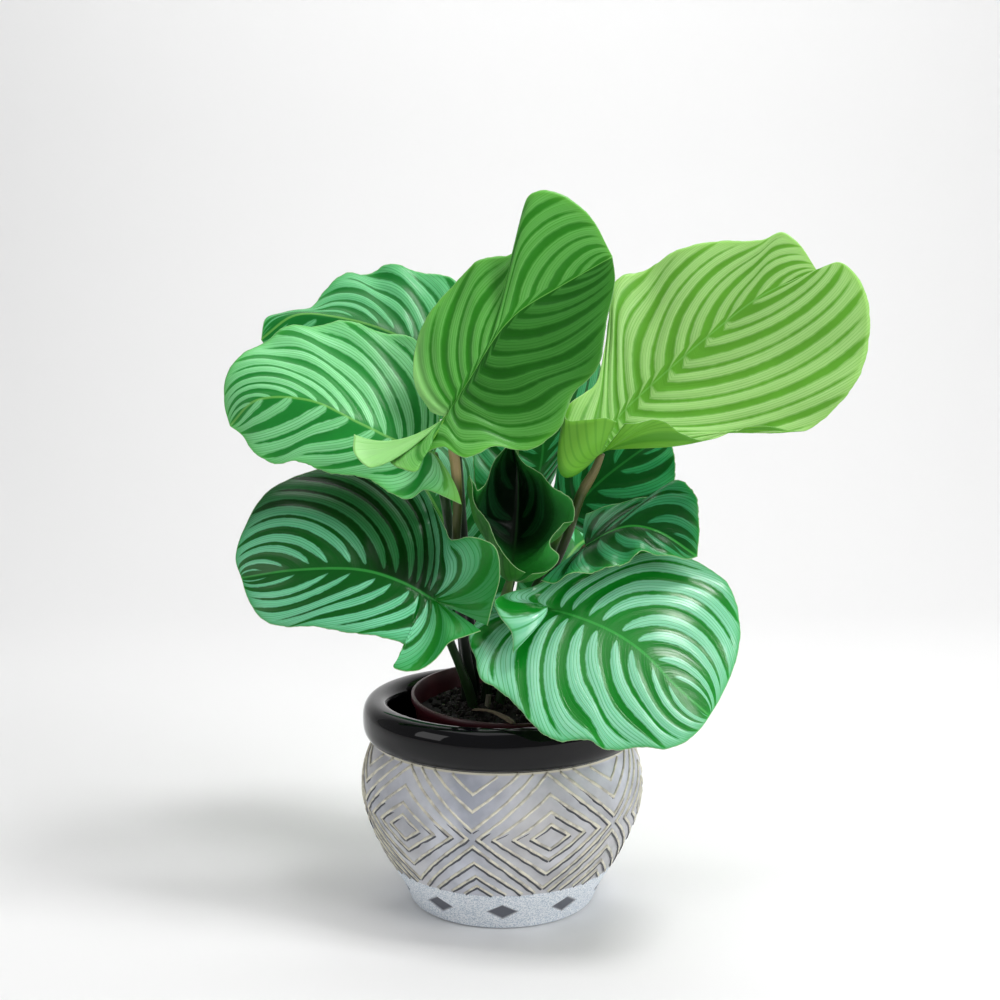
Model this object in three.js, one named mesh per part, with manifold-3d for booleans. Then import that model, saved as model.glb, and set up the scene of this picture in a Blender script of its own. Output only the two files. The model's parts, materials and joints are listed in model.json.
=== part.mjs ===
// A potted calathea: round striped leaves on bare petioles, growing in a plastic nursery pot that stands
// loose in a glazed decor pot. Millimetres, +Z up, front towards -Y, origin at the centre of the pot's foot.
import * as THREE from 'three';
import { mergeVertices } from 'three/addons/utils/BufferGeometryUtils.js';
import Module from 'manifold-3d';

const wasm = await Module();
wasm.setup();

// ---------------------------------------------------------------------------------------------------
// Driving dimensions

const GAP = 0.3;                  // air between pieces that touch

const POT = {
  footRadius: 68.8,
  footRound: 4,                   // radius of the rounded edge under the foot
  bellyRadius: 105,
  bellyHeight: 89,
  bellyPower: 1.2,                // above 1, the foot rises more steeply before it swells
  neckRadius: 95,
  neckHeight: 124,
  wall: 6,
  floor: 8,
  sides: 48,
  outerHeights: [14, 31, 50, 70, 89, 104, 115],   // rings of the outer wall, above the foot's round
  innerHeights: [116, 89, 60, 31],                // rings of the inner wall, above the floor
};
const RIM = {
  radius: 94,                     // centre of the roll's section
  height: 138.5,
  halfWidth: 10.5,
  halfHeight: 15,
  squareness: 2.5,                // exponent of the section's superellipse
  degrees: [-80, -45, -15, 15, 42, 65, 90, 115, 140, 175],   // points round the roll, from its outer foot
};
const NURSERY = {
  centreX: 7,
  centreY: 0,                     // centre of its rim
  rimRadius: 74,
  baseRadius: 52,
  height: 145,
  wall: 1.4,
  lipHeight: 5,
  lipOut: 1.2,
  lean: THREE.MathUtils.degToRad(4),   // leans forward, so its back edge stands higher
  drainHoles: 5,
  drainRadius: 5,
  drainCircle: 32,
  drainSides: 10,
  sides: 40,
};
const SOIL = {
  belowRim: 16,                   // at the wall, under the nursery pot's rim
  mound: 8,                       // rise in the middle
  moundPower: 1.5,                // above 1, the mound falls off sooner
  lump: 1.2,
  rings: 4,
  firstRing: 0.3,                 // share of a ring's width from the wall to the first ring
  rimStep: 2,                     // the wall's contact ends this far under the soil's edge
  sides: 32,
};
const BLADE = {
  thickness: 0.9,
  keel: 1.3,                      // extra thickness under the midrib at its base
  rows: 18,
  rowSpread: 1.3,                 // above 1, the rows lie closer at the basal lobes
  columns: [0, 0.3, 0.58, 0.82, 1],    // from midrib to margin
  arch: 0.14,                     // how far the side veins bow towards the base
  bulge: 0.05,                    // how far the blade swells between midrib and margin
  swellFade: 0.1,                 // a funnel's swell grows from nothing over this share of the margin
  fan: 1.7,                       // above 1, more side veins leave near the base
  wave: 1.6,                      // height of the ripples along the margin
  waves: 5,                       // ripples along each margin
  phase: 1.1,                     // sets the ripples of the two margins apart, in radians
};
const PETIOLE = {
  footRadius: 4.0,
  waistRadius: 3.1,
  neckRadius: 3.7,                // the swollen neck just under the blade
  endRadius: 2.4,
  below: 2.1,                     // its end lies this far under the middle of the blade's base
  trim: 0.45,                     // air that is cut round the blade where the petiole meets it
  waistAt: 0.5,                   // shares of the length where it is thinnest and where the neck swells
  neckAt: 0.86,
  buried: 14,
  clearOfSoil: 2,                 // it leaves the soil upright up to this height
  sides: 8,
  steps: 10,
};

// ---------------------------------------------------------------------------------------------------
// Colours

const MATERIALS = {
  pot: { color: '#95979c', roughness: 0.45 },
  nursery: { color: '#4a1820', roughness: 0.5 },
  soil: { color: '#1c1512', roughness: 1.0 },
  youngBlade: { color: '#6cb23c', roughness: 0.45 },
  blade: { color: '#2f9150', roughness: 0.35 },
  darkBlade: { color: '#1d6a34', roughness: 0.3 },
  petiole: { color: '#5d6136', roughness: 0.55 },
  dry: { color: '#a08a6a', roughness: 0.8 },
};

// ---------------------------------------------------------------------------------------------------
// The plant's points are laid out as seen by a viewer in front: [right, up, near]. Right and up are
// measured on the upright plane through the pot's axis, and near says how far in front of that plane the
// point stands, on the line to the viewer's eye.

const EYE = new THREE.Vector3(0, -1000, 409);

// A leaf lists its midrib from base to tip, and each margin from the end of its basal lobe to the tip.
// Left and right are those of its upper face with the tip up. Where a lobe is cupped or folded over, its
// side veins sag: those near share `at` of the margin are drawn aside, by `by` in x, y and z.
const LEAVES = [
  {
    name: 'top', material: 'youngBlade', ground: [-22, 3],
    petiole: [[-29, 200, 10], [-34, 260, 18], [-33, 305, 24], [-36, 338, 32]],
    midrib: [[-41, 362, 40], [-16, 402, 34], [4, 433, 26], [36, 453, 20], [80, 478, 16]],
    left: [[-53, 366, 36], [-64, 386, 30], [-62, 419, 18], [-45, 447, 10], [-18, 474, 6], [7, 481, 6],
      [15, 506, 16], [22, 523, 20], [39, 524, 20], [63, 507, 18], [80, 478, 16]],
    right: [[-109, 349, 60], [-109, 335, 70], [-97, 324, 74], [-87, 331, 56], [-77, 324, 68],
      [-64, 321, 72], [-58, 335, 58], [-44, 340, 58], [-27, 331, 62], [-5, 340, 58], [20, 338, 56],
      [42, 353, 50], [52, 378, 44], [70, 398, 38], [76, 430, 30], [82, 460, 22], [80, 478, 16]],
    fanRight: 2.6,
    sagRight: { by: [-4, -4, -14], at: 0, width: 0.14 },
  },
  {
    name: 'right', material: 'youngBlade', ground: [0, 12],
    petiole: [[20, 215, 0], [41, 256, 6], [49, 276, 12], [58, 304, 18], [68, 322, 23]],
    midrib: [[73, 335, 28], [82, 358, 14], [109, 385, 6], [154, 424, 8], [190, 451, 14], [229, 467, 20]],
    left: [[84, 358, 60], [76, 361, 62], [67, 360, 62], [56, 359, 58], [48, 359, 52], [46, 365, 42],
      [52, 373, 30], [69, 388, 12], [77, 430, 0], [83, 461, -8], [105, 469, -12], [124, 481, -12],
      [156, 489, -8], [189, 490, 0], [202, 495, 4], [214, 488, 10], [229, 467, 20]],
    right: [[90, 357, 60], [98, 357, 60], [112, 360, 56], [120, 358, 52], [133, 349, 46], [150, 344, 42],
      [175, 353, 40], [195, 355, 40], [221, 351, 40], [247, 371, 38], [264, 398, 36], [268, 432, 32],
      [263, 455, 28], [252, 470, 24], [243, 474, 22], [229, 467, 20]],
    fanRight: 2.2,
    sagLeft: { by: [-30, -14, -56], at: 0.13, width: 0.09 },
  },
  {
    name: 'left', material: 'youngBlade', ground: [-27, 12],
    petiole: [[-32, 220, -6], [-38, 270, -5], [-43, 305, 3]],
    midrib: [[-50, 335, 18], [-77, 344, 26], [-104, 357, 30], [-141, 374, 32], [-180, 374, 30],
      [-200, 355, 24]],
    left: [[-30, 297, 48], [-46, 304, 44], [-58, 308, 42], [-70, 301, 42], [-84, 306, 42],
      [-98, 316, 42], [-126, 320, 42], [-152, 329, 40], [-167, 327, 38], [-182, 335, 34], [-191, 348, 28],
      [-200, 355, 24]],
    right: [[-46, 362, 6], [-52, 392, -8], [-65, 419, -20], [-90, 424, -24], [-118, 432, -26],
      [-138, 428, -22], [-157, 427, -18], [-173, 417, -10], [-188, 409, 0], [-202, 391, 10],
      [-204, 372, 18], [-200, 355, 24]],
  },
  {
    name: 'back_left', material: 'blade', ground: [-21, 23],
    petiole: [[-26, 240, -20], [-32, 320, -42], [-36, 370, -54]],
    midrib: [[-38, 398, -60], [-78, 422, -58], [-117, 434, -54], [-150, 436, -50], [-176, 418, -44]],
    left: [[-20, 380, -58], [-45, 360, -48], [-90, 362, -42], [-130, 378, -40], [-162, 398, -40],
      [-176, 418, -44]],
    right: [[-20, 420, -78], [-34, 460, -92], [-64, 468, -96], [-82, 472, -96], [-98, 466, -94],
      [-112, 466, -90], [-131, 452, -78], [-140, 441, -68], [-158, 438, -58], [-172, 434, -50],
      [-176, 418, -44]],
  },
  {
    name: 'low_left', material: 'darkBlade', ground: [-22, -7],
    petiole: [[-36, 186, 18], [-46, 212, 30]],
    midrib: [[-50, 225, 42], [-75, 239, 44], [-104, 248, 42], [-153, 248, 32], [-194, 242, 16]],
    left: [[-16, 202, 76], [-27, 198, 80], [-39, 193, 82], [-46, 185, 84], [-55, 177, 84], [-68, 171, 84],
      [-82, 174, 82], [-77, 184, 77], [-73, 192, 72], [-85, 196, 69], [-111, 200, 64], [-139, 205, 58],
      [-160, 205, 52], [-178, 210, 44], [-190, 228, 28], [-194, 242, 16]],
    right: [[-11, 206, 72], [-7, 222, 76], [-2, 244, 76], [-6, 266, 70], [-22, 273, 62], [-38, 271, 44],
      [-48, 291, 6], [-64, 314, -14], [-100, 326, -25], [-140, 323, -25], [-173, 306, -18],
      [-192, 278, -4], [-198, 257, 8], [-194, 242, 16]],
    fanLeft: 2.2, fanRight: 2.2,
  },
  {
    name: 'inner', material: 'darkBlade', ground: [-12, 3],
    petiole: [[-6, 190, 4], [0, 218, 12]],
    midrib: [[6, 242, 24], [10, 272, -2], [12, 305, -10], [12, 332, -6], [12, 352, 0]],
    left: [[17, 246, 61], [10, 250, 61], [3, 257, 60], [-4, 270, 54], [-14, 288, 46], [-21, 303, 42],
      [-25, 319, 40], [-18, 307, 34], [-9, 322, 26], [0, 337, 16], [12, 352, 0]],
    right: [[22, 245, 62], [33, 247, 64], [42, 258, 62], [36, 268, 57], [44, 283, 48],
      [54, 284, 42], [50, 300, 36], [33, 315, 28], [15, 330, 16], [8, 342, 6], [12, 352, 0]],
    swellLeft: 0.35, swellRight: 0.1, bulge: -0.2,
  },
  {
    name: 'middle_right', material: 'darkBlade', ground: [9, 8],
    petiole: [[26, 205, 2], [44, 238, 8], [55, 254, 17]],
    midrib: [[62, 266, 30], [78, 276, 30], [95, 281, 30], [115, 277, 34], [145, 258, 40]],
    left: [[62, 290, 6], [84, 298, 4], [108, 303, 6], [122, 311, 8], [133, 315, 12], [143, 303, 20],
      [146, 282, 30], [145, 258, 40]],
    right: [[29, 240, 50], [38, 238, 54], [48, 244, 57], [70, 247, 55], [93, 254, 53], [105, 262, 50],
      [117, 259, 50], [128, 258, 46], [138, 256, 43], [145, 258, 40]],
  },
  {
    name: 'back_right', material: 'darkBlade', ground: [-2, 22],
    petiole: [[14, 210, -20], [34, 255, -26]],
    midrib: [[48, 288, -28], [70, 312, -32], [95, 332, -38], [122, 350, -46]],
    left: [[38, 310, -44], [48, 345, -56], [80, 362, -60], [105, 362, -54], [122, 350, -46]],
    right: [[62, 274, -14], [86, 277, -14], [110, 288, -18], [126, 308, -26], [127, 332, -36],
      [122, 350, -46]],
  },
  {
    name: 'low_right', material: 'blade', ground: [-2, -8],
    petiole: [[6, 170, 14], [20, 200, 30]],
    midrib: [[30, 220, 44], [55, 213, 54], [83, 201, 68], [106, 185, 82], [130, 160, 98], [156, 137, 110]],
    left: [[8, 185, 88], [7, 200, 84], [-2, 213, 75], [-6, 224, 64], [4, 231, 54], [26, 237, 38],
      [60, 252, 26], [100, 262, 18], [128, 263, 16], [150, 252, 24], [168, 236, 34], [178, 206, 54],
      [175, 180, 74], [164, 151, 98], [156, 137, 110]],
    right: [[-18, 212, 54], [-25, 197, 64], [-20, 181, 76], [-16, 165, 88], [-4, 158, 93], [7, 149, 100],
      [22, 131, 112], [33, 122, 120], [45, 118, 123], [64, 118, 123], [78, 111, 127], [106, 113, 127],
      [122, 111, 128], [138, 117, 125], [150, 128, 118], [156, 137, 110]],
    sagLeft: { by: [28, -10, 15], at: 0, width: 0.1 },
  },
  {
    name: 'centre_back', material: 'blade', ground: [-12, 14],
    petiole: [[2, 220, -20], [14, 270, -34]],
    midrib: [[24, 302, -44], [30, 345, -58], [18, 385, -76], [2, 410, -96], [-12, 424, -118]],
    left: [[14, 290, -38], [-2, 288, -34], [-18, 306, -38], [-22, 340, -56], [-24, 372, -82],
      [-42, 404, -110], [-12, 424, -118]],
    right: [[32, 304, -58], [52, 345, -76], [74, 384, -86], [64, 414, -104], [28, 430, -118],
      [-12, 424, -118]],
  },
  {
    name: 'rear_left', material: 'blade', ground: [-11, 31],
    petiole: [[-16, 200, -40]],
    midrib: [[-28, 248, -52], [-46, 290, -88], [-66, 318, -124], [-96, 316, -158]],
    left: [[-32, 205, -64], [-58, 198, -58], [-90, 216, -66], [-124, 244, -96], [-128, 284, -136],
      [-96, 316, -158]],
    right: [[-20, 206, -68], [2, 216, -74], [6, 262, -92], [0, 308, -120], [-24, 340, -146],
      [-62, 344, -162], [-96, 316, -158]],
  },
  {
    name: 'rear_right', material: 'blade', ground: [7, 26],
    petiole: [[20, 192, -40], [34, 218, -60]],
    midrib: [[38, 240, -56], [58, 268, -92], [80, 274, -126], [104, 256, -156]],
    left: [[20, 214, -52], [10, 224, -74], [16, 262, -92], [28, 294, -120], [54, 306, -146],
      [86, 292, -162], [104, 256, -156]],
    right: [[48, 208, -46], [68, 204, -52], [100, 214, -66], [128, 230, -96], [124, 244, -132],
      [104, 256, -156]],
  },
];

const SHEATH = {
  path: [[-20, -16], [-10, -36], [2, -64], [8, -77]],   // on the soil, then over the nursery pot's edge
  clear: 1.2,
  width: 6,
  thickness: 1,
  fold: 0.8,                      // height of the crease along its middle
  steps: 10,
};
const STUB = { ground: [-11, -11], radius: 2.2, height: 10, leanOver: 1, sides: 8, steps: 4 };

// ---------------------------------------------------------------------------------------------------
// Helpers

function place([right, up, near]) {
  return new THREE.Vector3(right, 0, up).lerp(EYE, near / -EYE.y);
}

function curveThrough(points) {
  return new THREE.CatmullRomCurve3(points, false, 'centripetal');
}

function geometryOf(vertices, triangles) {
  const geometry = new THREE.BufferGeometry();
  const coordinates = vertices.flatMap((point) => point.toArray());
  geometry.setAttribute('position', new THREE.Float32BufferAttribute(coordinates, 3));
  geometry.setIndex(triangles.flat());
  return geometry;
}

function solidOf(geometry) {
  const bare = geometry.clone();
  bare.deleteAttribute('normal');
  bare.deleteAttribute('uv');
  const merged = mergeVertices(bare, 1e-4);
  return new wasm.Manifold(new wasm.Mesh({
    numProp: 3,
    vertProperties: merged.attributes.position.array,
    triVerts: new Uint32Array(merged.index.array),
  }));
}

function geometryFromSolid(solid) {
  const mesh = solid.getMesh();
  const geometry = new THREE.BufferGeometry();
  geometry.setAttribute('position', new THREE.Float32BufferAttribute(mesh.vertProperties, 3));
  geometry.setIndex([...mesh.triVerts]);
  return geometry;
}

function largestPiece(solid) {
  const pieces = solid.decompose();
  pieces.sort((a, b) => b.volume() - a.volume());
  return pieces[0];
}

function lathe(profile, sides) {
  const points = profile.map(([radius, height]) => new THREE.Vector2(radius, height));
  return new THREE.LatheGeometry(points, sides).rotateX(Math.PI / 2);
}

// ---------------------------------------------------------------------------------------------------
// Decor pot

// The belly swells from the foot to its widest ring by a sine, and closes to the neck by a parabola.
function bellyRadiusAt(height) {
  if (height <= POT.bellyHeight) {
    const rise = Math.pow(height / POT.bellyHeight, POT.bellyPower);
    return POT.footRadius + (POT.bellyRadius - POT.footRadius) * Math.sin(rise * Math.PI / 2);
  }
  const rise = (height - POT.bellyHeight) / (POT.neckHeight - POT.bellyHeight);
  return POT.bellyRadius - (POT.bellyRadius - POT.neckRadius) * rise * rise;
}

function rimPoint(angle) {
  const power = 2 / RIM.squareness;
  const across = Math.sign(Math.cos(angle)) * Math.pow(Math.abs(Math.cos(angle)), power);
  const upward = Math.sign(Math.sin(angle)) * Math.pow(Math.abs(Math.sin(angle)), power);
  return [RIM.radius + RIM.halfWidth * across, RIM.height + RIM.halfHeight * upward];
}

function makePot() {
  const profile = [[0, 0], [POT.footRadius - POT.footRound, 0]];
  for (const height of [POT.footRound, ...POT.outerHeights]) {
    profile.push([bellyRadiusAt(height), height]);
  }
  for (const degrees of RIM.degrees) {
    profile.push(rimPoint(THREE.MathUtils.degToRad(degrees)));
  }
  for (const height of [...POT.innerHeights, POT.floor]) {
    profile.push([bellyRadiusAt(height) - POT.wall, height]);
  }
  profile.push([0, POT.floor]);
  return lathe(profile, POT.sides);
}

// ---------------------------------------------------------------------------------------------------
// Nursery pot and soil. Both are drawn upright about the nursery pot's own axis, then leaned.

function leanNursery(geometry) {
  const rise = NURSERY.baseRadius * Math.sin(NURSERY.lean);
  const back = NURSERY.height * Math.sin(NURSERY.lean);
  geometry.rotateX(NURSERY.lean);
  geometry.translate(NURSERY.centreX, NURSERY.centreY + back, POT.floor + GAP + rise);
  return geometry;
}

function nurseryRadiusAt(height) {
  return NURSERY.baseRadius + (NURSERY.rimRadius - NURSERY.baseRadius) * height / NURSERY.height;
}

function makeNurseryPot() {
  const { height, wall, lipHeight, lipOut, rimRadius } = NURSERY;
  let solid = solidOf(lathe([
    [0, 0],
    [nurseryRadiusAt(0), 0],
    [nurseryRadiusAt(height - lipHeight), height - lipHeight],
    [rimRadius + lipOut, height - lipHeight],
    [rimRadius + lipOut, height],
    [rimRadius - wall, height],
    [nurseryRadiusAt(wall) - wall, wall],
    [0, wall],
  ], NURSERY.sides));
  const { drainHoles, drainRadius, drainCircle, drainSides } = NURSERY;
  for (let hole = 0; hole < drainHoles; hole++) {
    const angle = 2 * Math.PI * hole / drainHoles;
    const drill = new THREE.CylinderGeometry(drainRadius, drainRadius, 4 * wall, drainSides);
    drill.rotateX(Math.PI / 2);
    drill.translate(drainCircle * Math.cos(angle), drainCircle * Math.sin(angle), wall / 2);
    solid = solid.subtract(solidOf(drill));
  }
  return leanNursery(geometryFromSolid(solid));
}

// The soil's top is a low mound with lumps, given by a few sines so that it is the same each time.
function soilTopAt(x, y) {
  const reach = Math.hypot(x, y) / NURSERY.rimRadius;
  const mound = SOIL.mound * Math.pow(Math.cos(Math.min(reach, 1) * Math.PI / 2), SOIL.moundPower);
  const lumps = Math.sin(x * 0.31 + 1.3) * Math.cos(y * 0.27 - 0.4) + Math.sin(x * 0.13 - y * 0.19);
  return NURSERY.height - SOIL.belowRim + mound + SOIL.lump * lumps * 0.5;
}

function makeSoil() {
  const level = NURSERY.height - SOIL.belowRim;
  const inner = (height) => nurseryRadiusAt(height) - NURSERY.wall - GAP;
  const bottom = NURSERY.wall + GAP;
  const shoulder = level - SOIL.rimStep;
  const profile = [[0, bottom], [inner(bottom), bottom], [inner(shoulder), shoulder]];
  for (let ring = 0; ring < SOIL.rings; ring++) {
    profile.push([inner(level) * (1 - (ring + SOIL.firstRing) / SOIL.rings), level]);
  }
  profile.push([0, level]);
  const soil = lathe(profile, SOIL.sides);
  const position = soil.attributes.position;
  for (let i = 0; i < position.count; i++) {
    if (position.getZ(i) > level - SOIL.rimStep / 2) {
      position.setZ(i, soilTopAt(position.getX(i), position.getY(i)));
    }
  }
  return leanNursery(soil);
}

// ---------------------------------------------------------------------------------------------------
// Leaf blades

// The area vector of the outline gives the way that the blade as a whole faces.
function facing(leaf) {
  const outline = [...leaf.left.map(place), ...leaf.right.map(place).reverse()];
  const sum = new THREE.Vector3();
  outline.forEach((point, i) => {
    const next = outline[(i + 1) % outline.length];
    sum.add(new THREE.Vector3().crossVectors(point, next));
  });
  const normal = sum.normalize();
  const middle = outline[Math.floor(outline.length / 2)];
  const across = new THREE.Vector3().subVectors(outline[outline.length - 2], outline[1]);
  const along = new THREE.Vector3().subVectors(middle, place(leaf.midrib[0]));
  const upper = new THREE.Vector3().crossVectors(across, along);
  return normal.dot(upper) < 0 ? normal.negate() : normal;
}

// One side vein: a quadratic Bezier from the midrib to the margin. Its control point is moved towards
// the leaf's base (arch), off the blade (bulge) and outwards (swell).
function veinPoint(root, end, along, normal, shape, s) {
  const chord = new THREE.Vector3().subVectors(end, root);
  const length = chord.length();
  const direction = chord.clone().normalize();
  const back = along.clone().addScaledVector(direction, -along.dot(direction)).negate();
  const outward = chord.clone().addScaledVector(normal, -chord.dot(normal)).normalize();
  const control = root.clone().lerp(end, 0.5);
  control.addScaledVector(back, shape.arch * length);
  control.addScaledVector(normal, shape.bulge * length);
  control.addScaledVector(outward, shape.swell * length);
  control.add(shape.sag);
  const point = root.clone().multiplyScalar((1 - s) * (1 - s));
  point.addScaledVector(control, 2 * s * (1 - s));
  return point.addScaledVector(end, s * s);
}

// Where a row of the blade meets the margin, as a share of the margin's length.
function rowShare(row) {
  return Math.pow(row / BLADE.rows, BLADE.rowSpread);
}

// How a side's vein is drawn aside at share t of the margin. The sag fades as a bell on both sides.
function veinShape(leaf, side, t) {
  const sag = side.sag ?? { by: [0, 0, 0], at: 0, width: 1 };
  const off = (t - sag.at) / sag.width;
  return {
    arch: BLADE.arch,
    bulge: leaf.bulge ?? BLADE.bulge,
    swell: (side.swell ?? 0) * (1 - Math.exp(-Math.pow(t / BLADE.swellFade, 2))),
    sag: new THREE.Vector3(...sag.by).multiplyScalar(Math.exp(-off * off)),
  };
}

// Middle surface of the blade: rows run from the basal lobes to the tip, columns from margin to margin.
function bladeGrid(leaf) {
  const midrib = curveThrough(leaf.midrib.map(place));
  const normal = facing(leaf);
  const sides = [
    { margin: leaf.left, fan: leaf.fanLeft, swell: leaf.swellLeft, sag: leaf.sagLeft },
    { margin: leaf.right, fan: leaf.fanRight, swell: leaf.swellRight, sag: leaf.sagRight },
  ];
  const margins = sides.map((side) => curveThrough(side.margin.map(place)));
  const grid = [];
  for (let row = 0; row <= BLADE.rows; row++) {
    const t = rowShare(row);
    const lines = sides.map((side, i) => {
      const u = Math.pow(t, side.fan ?? BLADE.fan);
      const root = midrib.getPointAt(u);
      const along = midrib.getTangentAt(u);
      const end = margins[i].getPointAt(t);
      const shape = veinShape(leaf, side, t);
      return BLADE.columns.map((s) => veinPoint(root, end, along, normal, shape, s));
    });
    const centre = lines[0][0].clone().lerp(lines[1][0], 0.5);
    grid.push([...lines[0].slice(1).reverse(), centre, ...lines[1].slice(1)]);
  }
  return grid;
}

function gridNormals(grid) {
  const last = grid.length - 1;
  return grid.map((line, row) => line.map((_, column) => {
    const r = Math.min(row, last - 1);
    const across = new THREE.Vector3().subVectors(
      grid[r][Math.min(column + 1, line.length - 1)], grid[r][Math.max(column - 1, 0)]);
    const along = new THREE.Vector3().subVectors(grid[r + 1][column], grid[Math.max(r - 1, 0)][column]);
    return new THREE.Vector3().crossVectors(across, along).normalize();
  }));
}

// Ripples lift the blade along its normal, strongest at the margin and none at the tip.
function ripple(grid) {
  const normals = gridNormals(grid);
  const half = BLADE.columns.length - 1;
  grid.forEach((line, row) => {
    const t = rowShare(row);
    const calm = Math.sin(Math.PI * t);
    line.forEach((point, column) => {
      const side = Math.sign(column - half);
      const s = BLADE.columns[Math.abs(column - half)];
      const phase = 2 * Math.PI * BLADE.waves * t + side * BLADE.phase;
      point.addScaledVector(normals[row][column], BLADE.wave * calm * s * s * Math.sin(phase));
    });
  });
}

function growBorder(grid, grow) {
  const last = grid[0].length - 1;
  const pushOut = (point, inner) => {
    point.addScaledVector(new THREE.Vector3().subVectors(point, inner).normalize(), grow);
  };
  grid[0].forEach((point, column) => pushOut(point, grid[1][column]));
  grid.slice(0, -1).forEach((line) => {
    pushOut(line[0], line[1]);
    pushOut(line[last], line[last - 1]);
  });
}

// A closed slab round the middle surface. Both faces are split into the same triangles.
// A grown slab stands off the blade by that much all round, for trimming what meets the blade.
function makeBlade(leaf, grow = 0) {
  const grid = bladeGrid(leaf);
  ripple(grid);
  const normals = gridNormals(grid);
  if (grow > 0) {
    growBorder(grid, grow);
  }
  const half = BLADE.columns.length - 1;
  const width = 2 * half + 1;
  const tip = BLADE.rows * width;
  const faces = [[], []];
  for (let row = 0; row <= BLADE.rows; row++) {
    const columns = row < BLADE.rows ? grid[row].map((_, i) => i) : [half];
    for (const column of columns) {
      const keel = column === half ? BLADE.keel * (1 - rowShare(row)) : 0;
      const rise = BLADE.thickness / 2 + grow;
      const point = grid[row][column];
      const normal = normals[row][column];
      faces[0].push(point.clone().addScaledVector(normal, rise));
      faces[1].push(point.clone().addScaledVector(normal, -rise - keel));
    }
  }
  const count = faces[0].length;
  const at = (row, column) => (row < BLADE.rows ? row * width + column : tip);
  const triangles = [];
  const addBoth = (a, b, c) => {
    triangles.push([a, b, c], [a + count, c + count, b + count]);
  };
  for (let row = 0; row < BLADE.rows; row++) {
    for (let column = 0; column < width - 1; column++) {
      if (row === BLADE.rows - 1) {
        addBoth(at(row, column), at(row, column + 1), tip);
      } else if (column < half) {
        addBoth(at(row, column), at(row, column + 1), at(row + 1, column));
        addBoth(at(row, column + 1), at(row + 1, column + 1), at(row + 1, column));
      } else {
        addBoth(at(row, column), at(row, column + 1), at(row + 1, column + 1));
        addBoth(at(row, column), at(row + 1, column + 1), at(row + 1, column));
      }
    }
  }
  const border = [];
  for (let column = 0; column < width; column++) {
    border.push(at(0, column));
  }
  for (let row = 1; row <= BLADE.rows; row++) {
    border.push(at(row, width - 1));
  }
  for (let row = BLADE.rows - 1; row > 0; row--) {
    border.push(at(row, 0));
  }
  border.forEach((a, i) => {
    const b = border[(i + 1) % border.length];
    triangles.push([a, a + count, b + count], [a, b + count, b]);
  });
  return geometryOf([...faces[0], ...faces[1]], triangles);
}

// ---------------------------------------------------------------------------------------------------
// Petioles

function taperedTube(curve, radiusAt, sides, steps) {
  const frames = curve.computeFrenetFrames(steps, false);
  const vertices = [];
  for (let step = 0; step <= steps; step++) {
    const centre = curve.getPointAt(step / steps);
    const radius = radiusAt(step / steps);
    for (let side = 0; side < sides; side++) {
      const angle = 2 * Math.PI * side / sides;
      const point = centre.clone();
      point.addScaledVector(frames.normals[step], radius * Math.cos(angle));
      point.addScaledVector(frames.binormals[step], radius * Math.sin(angle));
      vertices.push(point);
    }
  }
  const foot = vertices.push(curve.getPointAt(0)) - 1;
  const head = vertices.push(curve.getPointAt(1)) - 1;
  const triangles = [];
  for (let side = 0; side < sides; side++) {
    const next = (side + 1) % sides;
    for (let step = 0; step < steps; step++) {
      const a = step * sides + side;
      const b = step * sides + next;
      triangles.push([a, b, b + sides], [a, b + sides, a + sides]);
    }
    triangles.push([foot, next, side], [head, steps * sides + side, steps * sides + next]);
  }
  return geometryOf(vertices, triangles);
}

function groundHeightAt([x, y]) {
  const localX = x - NURSERY.centreX;
  const localY = y - NURSERY.centreY;
  const base = POT.floor + GAP + NURSERY.baseRadius * Math.sin(NURSERY.lean);
  return base + soilTopAt(localX, localY) * Math.cos(NURSERY.lean) + localY * Math.sin(NURSERY.lean);
}

function nurseryEdgeHeightAt(y) {
  const base = POT.floor + GAP + NURSERY.baseRadius * Math.sin(NURSERY.lean);
  return base + NURSERY.height * Math.cos(NURSERY.lean) + (y - NURSERY.centreY) * Math.sin(NURSERY.lean);
}

// Where the petiole ends: a little under the blade's base.
function bladeBase(leaf) {
  return place(leaf.midrib[0]).addScaledVector(facing(leaf), -PETIOLE.below);
}

function petioleCurve(leaf, below) {
  const [x, y] = leaf.ground;
  const ground = groundHeightAt(leaf.ground);
  return curveThrough([
    new THREE.Vector3(x, y, ground - below),
    new THREE.Vector3(x, y, ground + PETIOLE.clearOfSoil),
    ...leaf.petiole.map(place),
    bladeBase(leaf),
  ]);
}

function petioleRadiusAt(t) {
  const { footRadius, waistRadius, neckRadius, endRadius, waistAt, neckAt } = PETIOLE;
  if (t < waistAt) {
    return THREE.MathUtils.lerp(footRadius, waistRadius, t / waistAt);
  }
  if (t < neckAt) {
    return THREE.MathUtils.lerp(waistRadius, neckRadius, (t - waistAt) / (neckAt - waistAt));
  }
  return THREE.MathUtils.lerp(neckRadius, endRadius, (t - neckAt) / (1 - neckAt));
}

// The petiole runs up to the blade and is trimmed to lie just under it.
function makePetiole(leaf) {
  const curve = petioleCurve(leaf, PETIOLE.buried);
  const tube = solidOf(taperedTube(curve, petioleRadiusAt, PETIOLE.sides, PETIOLE.steps));
  const cutter = solidOf(makeBlade(leaf, PETIOLE.trim));
  return geometryFromSolid(largestPiece(tube.subtract(cutter)));
}

function cutStemHoles(soil) {
  let solid = solidOf(soil);
  for (const leaf of LEAVES) {
    const curve = petioleCurve(leaf, PETIOLE.buried + GAP);
    const wider = (t) => petioleRadiusAt(t) + GAP;
    solid = solid.subtract(solidOf(taperedTube(curve, wider, PETIOLE.sides, PETIOLE.steps)));
  }
  return solid;
}

// ---------------------------------------------------------------------------------------------------
// Old parts on the soil

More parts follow.
